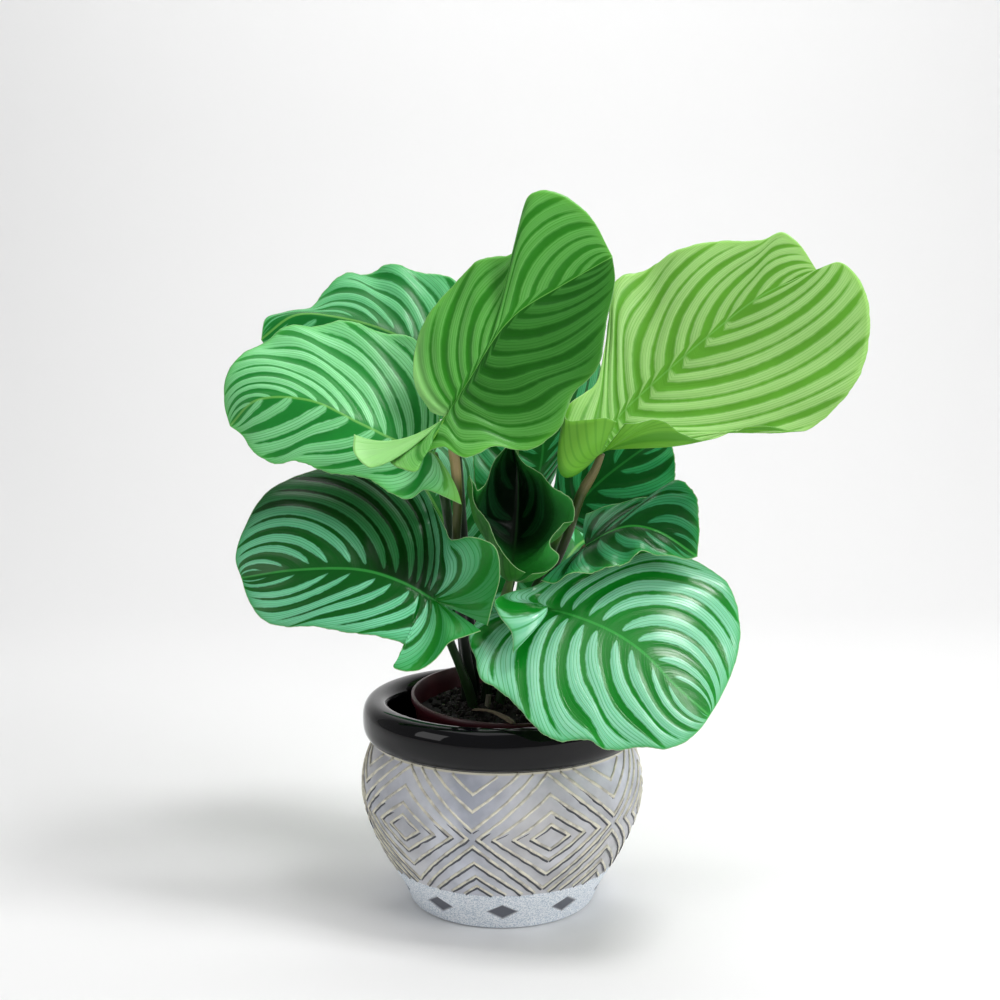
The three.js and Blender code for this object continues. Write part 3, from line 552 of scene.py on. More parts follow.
def grid_normals(grid):
    """Unit normals of a grid: slope across x slope along, by differences. Rows that run together at the tip
    take the normals of the last open row."""
    across = np.gradient(grid, axis=1)
    lengthwise = np.gradient(grid, axis=0)
    normals = unit(np.cross(across, lengthwise))
    normals[-3:] = normals[-4]
    return normals


def blade_grid(leaf, seed):
    """The middle surface as a grid, with each point's share of the vein, the two sides' stripe phases, and
    its distances from midrib and margin. Ripples add sin(pi t) s^2 sin(2 pi waves t + side phase) along the
    normal, and pleats add -cos(4 pi phase), faded out at midrib, margin and tip."""
    t = np.linspace(0, 1, ROWS + 1)
    s = np.linspace(0, 1, HALF + 1) ** CROWD
    left, left_size = half_blade(leaf, "left", t, s)
    right, right_size = half_blade(leaf, "right", t, s)
    grid = np.concatenate([left[:, :0:-1], (left[:, :1] + right[:, :1]) / 2, right[:, 1:]], axis=1)
    share = np.concatenate([s[:0:-1], s])
    side = np.sign(np.arange(2 * HALF + 1) - HALF)
    sizes = {"left": left_size, "right": right_size}
    phases = [stripe_phase(leaf, half, size, t, share) for half, size in sizes.items()]
    phase = np.where(side[None, :] < 0, *phases)
    steps = np.linalg.norm(np.diff(grid, axis=1), axis=2)
    run = np.concatenate([np.zeros((ROWS + 1, 1)), np.cumsum(steps, axis=1)], axis=1)
    from_midrib = np.abs(run - run[:, HALF:HALF + 1])
    to_margin = np.where(side[None, :] < 0, run, run[:, -1:] - run)
    t = t[:, None]
    calm = np.sin(np.pi * t)
    wave = RIPPLE * calm * share**2 * np.sin(2 * np.pi * RIPPLES * t + side * RIPPLE_PHASE)
    fade = np.clip(from_midrib / PLEAT_FROM_RIB, 0, 1) * np.clip(to_margin / PLEAT_FROM_MARGIN, 0, 1)
    fade = fade * np.clip((1 - t) / PLEAT_FROM_TIP, 0, 1)
    pleat = -PLEAT * fade * np.cos(4 * np.pi * phase)
    groove = -GROOVE * np.exp(-(from_midrib / KEEL_WIDTH) ** 2) * (1 - t)
    grid = grid + grid_normals(grid) * (wave + pleat + groove)[..., None]
    random = np.random.default_rng(seed)
    outward = unit(grid[:, [0, -1]] - grid[:, [1, -2]])
    wobble = sum(
        np.sin(2 * np.pi * (count * t + random.random((1, 2)))) / order
        for order, count in enumerate(RAGGED_WAVES, start=1))
    push = RAGGED * calm * wobble
    grid[:, 0] += outward[:, 0] * push[:, :1]
    grid[:, -1] += outward[:, 1] * push[:, 1:]
    return grid, share, phases, from_midrib, to_margin


print("a blade's grid has", (ROWS + 1) * (2 * HALF + 1), "points")

# %% Faces of the slab
UPPER, UNDER, EDGE = 0, 1, 2


def blade_faces():
    """Faces of the closed slab. Upper and under face are the same grid, turned over, ending in one tip
    point, and a wall joins them round the border. Also gives each face's place: which side of the midrib
    it lies on, and whether it is upper, under or edge."""
    width = 2 * HALF + 1
    count = ROWS * width + 1
    tip = count - 1
    quads = grid_faces(ROWS, width)
    row_side = np.where(np.arange(width - 1) < HALF, -1, 1)
    last = (ROWS - 1) * width + np.arange(width - 1)
    fans = np.stack([last, last + 1, np.full(width - 1, tip)], -1)
    first_row = np.arange(width)
    right_edge = np.arange(1, ROWS) * width + width - 1
    left_edge = np.arange(ROWS - 1, 0, -1) * width
    border = np.concatenate([first_row, right_edge, [tip], left_edge])
    following = np.roll(border, -1)
    wall = np.stack([border, border + count, following + count, following], -1)
    wall_side = np.concatenate([
        np.where(first_row < HALF, -1, 1), np.ones(ROWS - 1), [-1], -np.ones(ROWS - 1)])
    faces = [*quads.tolist(), *fans.tolist(), *(quads[:, ::-1] + count).tolist(),
             *(fans[:, ::-1] + count).tolist(), *wall.tolist()]
    side = np.concatenate([np.tile(row_side, 2 * ROWS), wall_side])
    upper = len(quads) + len(fans)
    kind = np.repeat([UPPER, UNDER, EDGE], [upper, upper, len(wall)])
    return faces, side, kind


FACES, FACE_SIDE, FACE_KIND = blade_faces()
print("a blade has", len(FACES), "faces")

# %% Blades
THICKNESS = 0.45             # of the living blade at the midrib, in mm
EDGE_THICKNESS = 0.28


def tip_joined(values):
    """A grid's values row by row, without its last row, whose points are one: the tip."""
    width = values.shape[1]
    flat = values.reshape(-1, *values.shape[2:])
    return np.concatenate([flat[:ROWS * width], flat[ROWS * width + HALF:ROWS * width + HALF + 1]])


def make_blade(name, leaf, materials, seed):
    """A closed blade round the middle surface: half the thickness above, and half plus the keel below."""
    grid, share, phases, from_midrib, to_margin = blade_grid(leaf, seed)
    normals = grid_normals(grid)
    t = np.linspace(0, 1, ROWS + 1)[:, None]
    half = (EDGE_THICKNESS + (THICKNESS - EDGE_THICKNESS) * (1 - share**3)[None, :]) / 2
    keel = KEEL * (1 - t) * np.exp(-(from_midrib / KEEL_WIDTH) ** 2)
    above = grid + normals * half[..., None]
    below = grid - normals * (half + keel)[..., None]
    points = np.vstack([tip_joined(above), tip_joined(below)])
    piece = make_piece(f"{name}_leaf_blade_fine", points, FACES, f"{name}_leaf_blade")
    for material in materials:
        piece.data.materials.append(material)
    piece.data.polygons.foreach_set("material_index", FACE_KIND.astype(np.int32))
    corners = corner_vertices(piece)
    sizes = np.empty(len(piece.data.polygons), np.int64)
    piece.data.polygons.foreach_get("loop_total", sizes)
    corner_side = np.repeat(FACE_SIDE, sizes)
    room, left_phase, right_phase, from_rib, to_edge = (
        np.tile(tip_joined(values), 2)[corners] for values in (
            band_room(leaf.get("joined", 1), from_midrib, to_margin), *phases, from_midrib, to_margin))
    give_uv(piece, "stripe", np.stack([room, np.where(corner_side < 0, left_phase, right_phase)], -1))
    give_uv(piece, "reach", np.stack([from_rib * corner_side, to_edge], -1))
    return piece


print("a blade is", THICKNESS, "mm thick at the midrib and", EDGE_THICKNESS, "mm at the margin")

# %% [markdown]
# ## Living leaf
# The upper face is a waxy cuticle over green tissue: a smooth sheen, with pale bands between the dark
# stripes and hair-thin veinlets along them. The light comes partly through, so the shader scatters it under
# the surface. The under face has no wax and almost no stripes. The margin is a pale line.

# %% Coordinates and bands
BAND_MIDDLE = (STRIPE_PAIR / 2 + WIDE - NARROW) / 2 / STRIPE_PAIR   # from a wide stripe's middle, in pairs
BAND_PATCH, BAND_WAVER = 6.25, 0.012   # a band's edge wavers over this many mm, by this many pairs


def leaf_coordinates(tree):
    """The blade's two maps as sockets: the bands' room and the stripes' phase, then the mm from the midrib,
    negative in the left half, and to the margin."""
    stripe = add(tree, "SeparateXYZ", add(tree, "UVMap", uv_map="stripe"))
    reach = add(tree, "SeparateXYZ", add(tree, "UVMap", uv_map="reach"))
    return stripe, stripe.node.outputs["Y"], reach, reach.node.outputs["Y"]


def band_mask(tree, where, room, phase, soft):
    """1 in a pale band and 0 in a dark stripe: a band is where |off| is less than the room, with
    off = PINGPONG(phase, 0.5) - middle. soft is half the width of its blended edge, in pairs. Gives off
    back too."""
    turn = add(tree, "Math", phase, 0.5, operation="PINGPONG")
    off = add(tree, "Math", turn, BAND_MIDDLE, operation="SUBTRACT")
    away = add(tree, "Math", off, operation="ABSOLUTE")
    patches = add(tree, "TexNoise", {"Vector": where, "Scale": per_metre(BAND_PATCH), "Detail": 2.0})
    waver = add(tree, "MapRange", patches, *NOISE_SPAN, -BAND_WAVER, BAND_WAVER)
    spare = add(tree, "Math", room, away, operation="SUBTRACT")
    spare = add(tree, "Math", spare, waver, operation="ADD")
    return add(tree, "MapRange", spare, -soft, soft, **EASED), off


print("a band's middle lies", round(BAND_MIDDLE * STRIPE_PAIR, 1), "mm from a wide stripe's middle")

# %% Upper face
STREAKS, STREAK_LONG = 26.0, 33.33   # streaks of a band: how many to a pair of stripes, and how long in mm
VEINLET_GAP = 0.078          # between a band's veinlets, in pairs: 2.6 mm
VEINLET_EDGE, VEINLET_SHOWN = (0.010, 0.003), 0.6   # pairs from its middle where it comes in, and strength
DUSK_PATCH, DUSK = 28.57, 0.62   # the dark tissue has darker patches: size in mm, and brightness
BORDER_SHOWN = 0.75          # how strong the brighter green is at the very margin
HALF_EDGE = (-1.0, 3.0)      # mm from the midrib over which the shade of the right half comes in
SHADE_IN, SHADE_OUT = 2.4, 1.5   # pairs over which it comes in from the base and goes out to the tip
LOBE_START = 0.4             # a lobe's colour starts to fade at this share of its reach
RIB_EDGE, RIB_SHOWN = (1.4, 0.6), 0.6   # the midrib's pale line comes in over these mm from its middle
RIM_EDGE = (0.75, 0.3)       # and the margin's over these mm from the edge
RIM_COLOUR = "#b5d8a0"
RELIEF_MM = 0.4              # height of streaks and veinlets in the bump


def leaf_cuticle(name, light, pale, dark, border, rib="#7cc25a", rim=0.5, gloss=0.30, contrast=1.0,
                 shade=None, lobe=None, border_reach=3.0, soft=0.023, shine=0.25):
    """The upper face: dark tissue, and bands in streaks from light to pale with dark veinlets. The layers
    that then go over it are the border's brighter green, which fades as exp(-d / reach), the shade, the
    lobe, the midrib and the rim. shade is a colour and strength for the right half and the phases where it
    begins and ends. lobe is a colour, its reach from the base in pairs, and its strength."""
    material, tree, shader = new_material(
        f"{name}_leaf_cuticle", Roughness=gloss, IOR=1.45, Specular_IOR_Level=shine)
    room, phase, signed, to_edge = leaf_coordinates(tree)
    from_rib = add(tree, "Math", signed, operation="ABSOLUTE")
    where = add(tree, "TexCoord", output="Object")
    band, off = band_mask(tree, where, room, phase, soft)
    along_vein = add(tree, "Math", from_rib, 1 / STREAK_LONG, operation="MULTIPLY")
    across_vein = add(tree, "Math", phase, STREAKS, operation="MULTIPLY")
    streaks = add(tree, "TexNoise", {
        "Vector": add(tree, "CombineXYZ", along_vein, across_vein), "Scale": 1.0, "Detail": 3.0})
    spread = add(tree, "MapRange", streaks, *NOISE_SPAN)
    tissue = add(tree, "Mix", {0: spread, 6: linear(light), 7: linear(pale)}, **COLOURS)
    from_first = add(tree, "Math", off, 10 * VEINLET_GAP, operation="ADD")
    comb = add(tree, "Math", from_first, VEINLET_GAP / 2, operation="PINGPONG")
    veinlet = add(tree, "MapRange", comb, *VEINLET_EDGE, 0.0, VEINLET_SHOWN, **EASED)
    tissue = add(tree, "Mix", {0: veinlet, 6: tissue, 7: linear(dark)}, **COLOURS)
    dusk = add(tree, "TexNoise", {"Vector": where, "Scale": per_metre(DUSK_PATCH), "Detail": 3.0})
    deep = (*(channel * DUSK for channel in linear(dark)[:3]), 1.0)
    ground = add(tree, "Mix", {0: dusk, 6: deep, 7: linear(dark)}, **COLOURS)
    shown = add(tree, "Math", band, contrast, operation="MULTIPLY")
    colour = add(tree, "Mix", {0: shown, 6: ground, 7: tissue}, **COLOURS)

    falloff = add(tree, "Math", to_edge, -1 / border_reach, operation="MULTIPLY")
    falloff = add(tree, "Math", falloff, operation="EXPONENT")
    layers = [(add(tree, "Math", falloff, BORDER_SHOWN, operation="MULTIPLY"), border, "MIX")]
    if shade:
        tint, strength, begin, end = shade
        cover = add(tree, "MapRange", signed, *HALF_EDGE, 0.0, strength, **EASED)
        for edges in ((begin, begin + SHADE_IN, 0.0, 1.0), (end, end + SHADE_OUT, 1.0, 0.0)):
            part = add(tree, "MapRange", phase, *edges, **EASED)
            cover = add(tree, "Math", cover, part, operation="MULTIPLY")
        layers.append((cover, tint, "MULTIPLY"))
    if lobe:
        tint, reach, strength = lobe
        cover = add(tree, "MapRange", phase, reach * LOBE_START, reach, strength, 0.0, **EASED)
        layers.append((cover, tint, "MIX"))
    layers.append((add(tree, "MapRange", from_rib, *RIB_EDGE, 0.0, RIB_SHOWN), rib, "MIX"))
    layers.append((add(tree, "MapRange", to_edge, *RIM_EDGE, 0.0, rim), RIM_COLOUR, "MIX"))
    for cover, tint, blend in layers:
        colour = add(tree, "Mix", {0: cover, 6: colour, 7: linear(tint)}, blend_type=blend, **COLOURS)

    tree.links.new(colour, shader.inputs["Base Color"])
    height = add(tree, "Math", streaks, veinlet, operation="SUBTRACT")
    bump = add(tree, "Bump", {"Height": height, "Strength": 0.25, "Distance": RELIEF_MM * MM})
    tree.links.new(bump, shader.inputs["Normal"])
    shader.inputs["Subsurface Weight"].default_value = 0.06
    shader.inputs["Subsurface Radius"].default_value = (0.3, 0.6, 0.1)
    shader.inputs["Subsurface Scale"].default_value = 0.002
    return material


print("streaks are", round(STRIPE_PAIR / STREAKS, 1), "mm wide")

# %% Under face
UNDER_STRIPE_EDGE, UNDER_STRIPE_SHOWN = (0.18, 0.09), 0.7   # in pairs from a wide stripe's middle
UNDER_VEIN_EDGE, UNDER_VEIN_SHOWN = (0.016, 0.006), 0.4
UNDER_RIB_EDGE, UNDER_RIB_SHOWN, UNDER_RIB = (1.7, 0.9), 0.5, "#a8c878"


def leaf_underside(name, under, under_dark):
    """The under face: dull, with the stripes and veins only faintly darker, and its midrib paler."""
    material, tree, shader = new_material(f"{name}_leaf_underside", Roughness=0.55, IOR=1.4)
    _, phase, signed, _ = leaf_coordinates(tree)
    turn = add(tree, "Math", phase, 0.5, operation="PINGPONG")
    wide = add(tree, "MapRange", turn, *UNDER_STRIPE_EDGE, 0.0, UNDER_STRIPE_SHOWN, **EASED)
    comb = add(tree, "Math", phase, VEINLET_GAP / 2, operation="PINGPONG")
    veins = add(tree, "MapRange", comb, *UNDER_VEIN_EDGE, 0.0, UNDER_VEIN_SHOWN, **EASED)
    share = add(tree, "Math", wide, veins, operation="MAXIMUM")
    colour = add(tree, "Mix", {0: share, 6: linear(under), 7: linear(under_dark)}, **COLOURS)
    from_rib = add(tree, "Math", signed, operation="ABSOLUTE")
    ribbed = add(tree, "MapRange", from_rib, *UNDER_RIB_EDGE, 0.0, UNDER_RIB_SHOWN)
    colour = add(tree, "Mix", {0: ribbed, 6: colour, 7: linear(UNDER_RIB)}, **COLOURS)
    tree.links.new(colour, shader.inputs["Base Color"])
    bump = add(tree, "Bump", {"Height": veins, "Strength": 0.3, "Distance": RELIEF_MM * MM})
    tree.links.new(bump, shader.inputs["Normal"])
    return material


print("veins on the under face are", round(VEINLET_GAP * STRIPE_PAIR, 1), "mm apart")

# %% [markdown]
# ## One finish for each leaf
# A young calathea leaf is yellow green with faint stripes, and an old one dark green with mint bands. The
# leaves here stand at every age between, and some are shaded by others or turn one half away from the
# window: that shade is painted into their colours, the inner leaf's cupped hollow is painted nearly black
# as shade, and the right leaf's yellow green is partly painted light shining through it. So the one cuticle
# above is mixed anew for each leaf, and the blades are made with it.

# %% Leaf finishes
UNDER_LIGHT, UNDER_MID, UNDER_DEEP = ("#6db232", "#428c1a"), ("#6fae5e", "#43883f"), ("#3f9034", "#1f6a20")
REAR_LOOK = dict(light="#62c48a", pale="#84d4a6", dark="#15842e", border="#2a9e36")
FINISHES = {
    "top": ("young_leaf", UNDER_LIGHT, dict(
        light="#5eb04a", pale="#82cc6c", dark="#2f881c", border="#66b63c", contrast=0.62, rim=0.25,
        shade=("#7fa880", 0.85, 2.2, 20.0), lobe=("#94d27c", 1.5, 0.8), gloss=0.36, soft=0.045)),
    # the right leaf's pale yellow green is partly its young colour and partly painted light shining through
    # it
    "right": ("young_leaf", UNDER_LIGHT, dict(
        light="#a8da80", pale="#c0ea9c", dark="#6ab436", border="#92ce56", contrast=0.72, rim=0.15,
        lobe=("#7cc83a", 0.9, 0.85), gloss=0.33, soft=0.05)),
    "left": ("young_leaf", UNDER_MID, dict(
        light="#6ac478", pale="#90dc9e", dark="#229236", border="#4eb644", rim=0.3,
        lobe=("#86cf5a", 0.7, 0.8), gloss=0.33)),
    "back_left": ("leaf", UNDER_MID, dict(
        light="#52b06e", pale="#74c88c", dark="#178030", border="#2f9a3a", rim=0.4)),
    "low_left": ("old_leaf", UNDER_DEEP, dict(
        light="#5cc68c", pale="#88dab0", dark="#0d661d", border="#188a22", gloss=0.2, shine=0.32,
        rib="#3fae4a", shade=("#2c6c20", 0.88, 0.8, 4.6), lobe=("#168a22", 1.9, 0.8))),
    # the inner leaf is cupped: its near-black tissue and bands are painted shade, where its hollow lies in
    # shadow
    "inner": ("old_leaf", UNDER_DEEP, dict(
        light="#143a20", pale="#1d4d2c", dark="#091c0e", border="#2f8a30", rib="#2c5a2c",
        lobe=("#46ac50", 2.3, 0.95), border_reach=8.0)),
    "middle_right": ("old_leaf", UNDER_DEEP, dict(
        light="#247a46", pale="#3e9866", dark="#0a521a", border="#1f942c", gloss=0.25, rib="#3fae45")),
    "back_right": ("old_leaf", UNDER_DEEP, dict(
        light="#2a8a50", pale="#3aa264", dark="#115a22", border="#187a2c", gloss=0.26, rib="#2f8a3c")),
    "low_right": ("leaf", UNDER_MID, dict(
        light="#6ec496", pale="#94d8b4", dark="#0f8a24", border="#24a034", gloss=0.22, shine=0.45, rim=0.4,
        rib="#34b040")),
    "centre_back": ("leaf", UNDER_DEEP, dict(
        light="#2c8a50", pale="#45a66a", dark="#0f5f1e", border="#1f8a2c", rib="#2f8a3c")),
    "rear_left": ("leaf", UNDER_MID, REAR_LOOK),
    "rear_right": ("leaf", UNDER_MID, REAR_LOOK),
}
LEAF_MARGIN, _, _ = new_material("pale_leaf_margin", Base_Color=linear("#9fc98a"), Roughness=0.5)
for number, (name, leaf) in enumerate(LEAVES.items(), start=1):
    slot, under, look = FINISHES[name]
    coats = leaf_cuticle(name, **look), leaf_underside(name, *under), LEAF_MARGIN
    make_blade(name, leaf, coats, seed=number)
print(len(FINISHES), "blades made")

# %% [markdown]
# ## The grow pot's frame
# The grow pot stands loose in the glazed pot and leans forward a little. Its soil is mounded round the
# stems. Both are worked out upright on the grow pot's own axis and then leaned by one function, so that the
# stalks can ask how high the soil is where they leave it.

# %% Lean and soil height
GAP = 0.3                    # air between pieces that touch, in mm
POT_FLOOR = 8.0
GROW_CENTRE_X = 7.0
GROW_RIM, GROW_BASE, GROW_HEIGHT = 74.0, 52.0, 145.0
GROW_WALL, GROW_LIP, GROW_LIP_OUT = 1.4, 5.0, 1.2
LEAN = math.radians(4)
LEAN_RISE = POT_FLOOR + GAP + GROW_BASE * math.sin(LEAN)   # how high the lean lifts the middle of its base
SOIL_BELOW, SOIL_MOUND, MOUND_POWER = 16.0, 8.0, 1.5
SOIL_LUMP = 0.6              # height of the lumps, in mm
LUMP_X, LUMP_Y, LUMP_XY = (0.31, 1.3), (0.27, -0.4), (0.13, -0.19)   # a and b, c and d, e and f


def lean(points):
    """Turns points about the x axis by the lean, then moves them to where the grow pot stands."""
    x, y, z = np.moveaxis(np.asarray(points, float), -1, 0)
    turned_y = y * math.cos(LEAN) - z * math.sin(LEAN)
    turned_z = y * math.sin(LEAN) + z * math.cos(LEAN)
    return np.stack([x + GROW_CENTRE_X, turned_y + GROW_HEIGHT * math.sin(LEAN), turned_z + LEAN_RISE], -1)


def soil_top(x, y):
    """Height of the soil on the grow pot's own axis: a mound of mound * cos(pi/2 * reach)^power, plus lump *
    (sin(a x + b) cos(c y + d) + sin(e x + f y))."""
    reach = np.minimum(np.hypot(x, y) / GROW_RIM, 1)
    mound = SOIL_MOUND * np.cos(reach * np.pi / 2) ** MOUND_POWER
    lumps = np.sin(x * LUMP_X[0] + LUMP_X[1]) * np.cos(y * LUMP_Y[0] + LUMP_Y[1])
    lumps = lumps + np.sin(x * LUMP_XY[0] + y * LUMP_XY[1])
    return GROW_HEIGHT - SOIL_BELOW + mound + SOIL_LUMP * lumps


def ground_height(x, y):
    """Height of the leaned soil above the floor."""
    return LEAN_RISE + soil_top(x - GROW_CENTRE_X, y) * math.cos(LEAN) + y * math.sin(LEAN)


print("soil at the middle is", round(float(ground_height(GROW_CENTRE_X, 0.0))), "mm up")

# %% [markdown]
# ## Stalks
# A calathea's petiole is a round green stalk that sheathes its neighbours at the foot and swells into a
# paler joint, the pulvinus, just under the blade, where the leaf folds at night. A tube is a circle
# carried along a path, with a radius for each step.

# %% Tubes
def tube(path, radius, sides):
    """Points and faces of a closed tube. Its section is turned by two unit vectors square to the path."""
    tangent = unit(np.gradient(path, axis=0))
    first = unit(np.cross(tangent, [0.0, 1.0, 0.0]))
    second = np.cross(tangent, first)
    turn = np.linspace(0, 2 * np.pi, sides, endpoint=False)
    spoke = first[:, None] * np.cos(turn)[None, :, None] + second[:, None] * np.sin(turn)[None, :, None]
    rings = path[:, None] + spoke * np.broadcast_to(radius, (len(path),))[:, None, None]
    return np.vstack([rings.reshape(-1, 3), path[:1], path[-1:]]), closed_faces(len(path), sides)


def round_share(corners, sides):
    """For corners of a tube: from 1 to 0 and back again round the tube, so that no seam shows."""
    return np.abs(2 * (corners % sides) / sides - 1)


print("round half a tube the share goes", round_share(np.array([0, 7, 14]), 28))

# %% Stalks
STALK_SIDES, STALK_STEPS = 28, 90
STALK_AT, STALK_R = (0, 0.5, 0.88, 1), (4.2, 3.1, 3.8, 2.6)   # foot, waist, neck and end: share and radius
SHEATHED_AT, SHEATHED_LONG, SHEATHED_BY = 34, 6, 0.25   # a small swell where an old sheath wraps the stalk
BURIED = 14.0                # how deep a stalk stands in the soil
SPROUT = 2.0                 # it leaves the soil upright for this many mm
BELOW_BLADE = 0.9            # it ends this far under the blade's middle surface, in mm


def stalk_path(leaf):
    """Evenly spaced points from below the soil, up the stalk, to just under the blade's base."""
    x, y = leaf["ground"]
    ground = float(ground_height(float(x), float(y)))
    end = place(leaf["midrib"])[0] - facing(leaf) * BELOW_BLADE
    points = np.vstack([[x, y, ground - BURIED], [x, y, ground + SPROUT], place(leaf["petiole"]), end])
    return along(curve_samples(points), np.linspace(0, 1, STALK_STEPS))


def make_stalk(name, leaf, material):
    """A tube whose radius goes foot, waist, neck, end, plus swell * exp(-((mm - at) / long)^2) for the old
    sheath. The UV map holds the share round the stalk and the distance from the blade in mm."""
    path, length = stalk_path(leaf)
    t = np.linspace(0, 1, STALK_STEPS)
    radius = np.interp(t, STALK_AT, STALK_R)
    radius = radius + SHEATHED_BY * np.exp(-((t * length - SHEATHED_AT) / SHEATHED_LONG) ** 2)
    points, faces = tube(path, radius, STALK_SIDES)
    piece = make_piece(f"{name}_leaf_petiole_fine", points, faces, f"{name}_leaf_petiole")
    piece.data.materials.append(material)
    corners = corner_vertices(piece)
    step = np.minimum(corners // STALK_SIDES, STALK_STEPS - 1)
    give_uv(piece, "stalk", np.stack([round_share(corners, STALK_SIDES), (1 - t[step]) * length], -1))
    return length


print("the top leaf's stalk is", round(stalk_path(LEAVES["top"])[1]), "mm long")

# %% Stalk colours
DARK_AT = 125.0              # mm below the blade where the stalk has its foot's colour
NECK_BLEND = 6.0             # mm on either side of the neck's end over which its colour changes
FIBRES, FIBRE_LONG, FIBRE_SHOWN = 13.0, 33.33, 0.45   # in half a turn, their length in mm, and strength


def stalk_material(name, neck, middle, foot, neck_length=22.0):
    """Ribbed green stalk: the neck's colour for its length under the blade, then the middle's, darkening to
    the foot, with fibres along it, each not quite a millimetre wide. The near-black foot is partly the
    stalk's own colour and partly painted shade under the leaves."""
    material, tree, shader = new_material(name, Roughness=0.42, IOR=1.45)
    around = add(tree, "SeparateXYZ", add(tree, "UVMap", uv_map="stalk"))
    down = around.node.outputs["Y"]
    # darker towards the foot: partly the stalk's own colour, partly painted shade under the leaves
    darkening = add(tree, "MapRange", down, neck_length, DARK_AT)
    colour = add(tree, "Mix", {0: darkening, 6: linear(middle), 7: linear(foot)}, **COLOURS)
    at_neck = add(tree, "MapRange", down, neck_length + NECK_BLEND, neck_length - NECK_BLEND, **EASED)
    colour = add(tree, "Mix", {0: at_neck, 6: colour, 7: linear(neck)}, **COLOURS)
    across = add(tree, "Math", around, FIBRES, operation="MULTIPLY")
    lengthwise = add(tree, "Math", down, 1 / FIBRE_LONG, operation="MULTIPLY")
    fibres = add(tree, "TexNoise", {
        "Vector": add(tree, "CombineXYZ", across, lengthwise), "Scale": 1.0, "Detail": 2.0})
    darker = add(tree, "Math", fibres, FIBRE_SHOWN, operation="MULTIPLY")
    colour = add(tree, "Mix", {0: darker, 6: colour, 7: linear(foot)}, **COLOURS)
    tree.links.new(colour, shader.inputs["Base Color"])
    bump = add(tree, "Bump", {"Height": fibres, "Strength": 0.35, "Distance": 0.6 * MM})
    tree.links.new(bump, shader.inputs["Normal"])
    return material


TAN_STALK = stalk_material("tan_necked_stalk", "#b9a06e", "#75793f", "#0e1f10", neck_length=46.0)
OLIVE_STALK = stalk_material("olive_stalk", "#7d7448", "#4f5a2e", "#0e1f10", neck_length=30.0)
GREEN_STALK = stalk_material("green_stalk", "#5f8a3a", "#2c5422", "#0c1a0e")
STALK_LOOK = {"top": TAN_STALK, "right": OLIVE_STALK, "middle_right": OLIVE_STALK}
lengths = [make_stalk(name, leaf, STALK_LOOK.get(name, GREEN_STALK)) for name, leaf in LEAVES.items()]
print(len(lengths), "stalks made, the longest", round(max(lengths)), "mm")

# %% [markdown]
# ## The glazed pot
# The pot was thrown on a wheel: a round belly with a thick rolled rim, dipped in black glaze. Its belly
# has a thin grey glaze over carving, and its foot a band of rough white slip with small sunk diamonds. A
# profile turned round the axis gives the body, and a formula pushes the diamonds in.

# %% Pot profile
FOOT_R, FOOT_ROUND = 68.8, 4.0
BELLY_R, BELLY_Z, BELLY_POWER = 105.0, 89.0, 1.2
NECK_R, NECK_Z, POT_WALL = 95.0, 124.0, 6.0
ROLL_R, ROLL_Z, ROLL_WIDE, ROLL_HIGH, ROLL_SQUARE = 94.0, 138.5, 10.5, 15.0, 2.5
ROLL_FROM, ROLL_TO, ROLL_STEPS = -80.0, 175.0, 44   # the drawn part of its section, in degrees, and steps
SLIP_TOP, SLIP_THICK = 31.0, 0.3   # upper edge and thickness of the white band
RING_STEP, BELLY_STEPS, INSIDE_STEPS = 0.7, 34, 14   # mm between rings on the slip, then numbers of rings
INSIDE_TOP = 116.0           # where the inside's plain wall starts, under the roll


def belly_radius(z):
    """Below the widest ring a sine swell, foot + rise * sin(pi/2 * (z / ring)^power); above it a parabola
    that closes to the neck."""
    z = np.asarray(z, float)
    low = FOOT_R + (BELLY_R - FOOT_R) * np.sin(np.pi / 2 * (np.clip(z, 0, BELLY_Z) / BELLY_Z) ** BELLY_POWER)
    high = BELLY_R - (BELLY_R - NECK_R) * ((z - BELLY_Z) / (NECK_Z - BELLY_Z)) ** 2
    return np.where(z <= BELLY_Z, low, high)


def pot_profile():
    """Radius and height from the foot's middle, up the outside, over the roll and down the inside. The roll
    is a superellipse: wide * cos^(2 / square) out and high * sin^(2 / square) up. Also which finish each
    step has: 0 for glazed body and slip, 1 for the black roll and the inside."""
    turn = np.linspace(0, np.pi / 2, 6)
    foot_r = FOOT_R - FOOT_ROUND
    foot = np.stack([foot_r + (belly_radius(FOOT_ROUND) - foot_r) * np.sin(turn),
                     FOOT_ROUND * (1 - np.cos(turn))], -1)
    z = np.concatenate([np.arange(FOOT_ROUND + RING_STEP, SLIP_TOP, RING_STEP),
                        np.linspace(SLIP_TOP, NECK_Z - 1.2, BELLY_STEPS)])
    slip = SLIP_THICK * np.clip(SLIP_TOP - z, 0, 1)
    belly = np.stack([belly_radius(z) + slip, z], -1)
    angle = np.radians(np.linspace(ROLL_FROM, ROLL_TO, ROLL_STEPS))
    power = 2 / ROLL_SQUARE
    roll = np.stack([ROLL_R + ROLL_WIDE * np.sign(np.cos(angle)) * np.abs(np.cos(angle)) ** power,
                     ROLL_Z + ROLL_HIGH * np.sign(np.sin(angle)) * np.abs(np.sin(angle)) ** power], -1)
    down = np.linspace(INSIDE_TOP, POT_FLOOR, INSIDE_STEPS)
    inside = np.stack([belly_radius(down) - POT_WALL, down], -1)
    profile = np.vstack([foot, belly, roll, inside])
    finish = np.repeat([0, 1], [len(foot) + len(belly), len(roll) + len(inside)])
    return profile, finish


profile, profile_finish = pot_profile()
print("the pot is", round(2 * float(profile[:, 0].max())), "mm wide and", profile[:, 1].max(), "mm high")

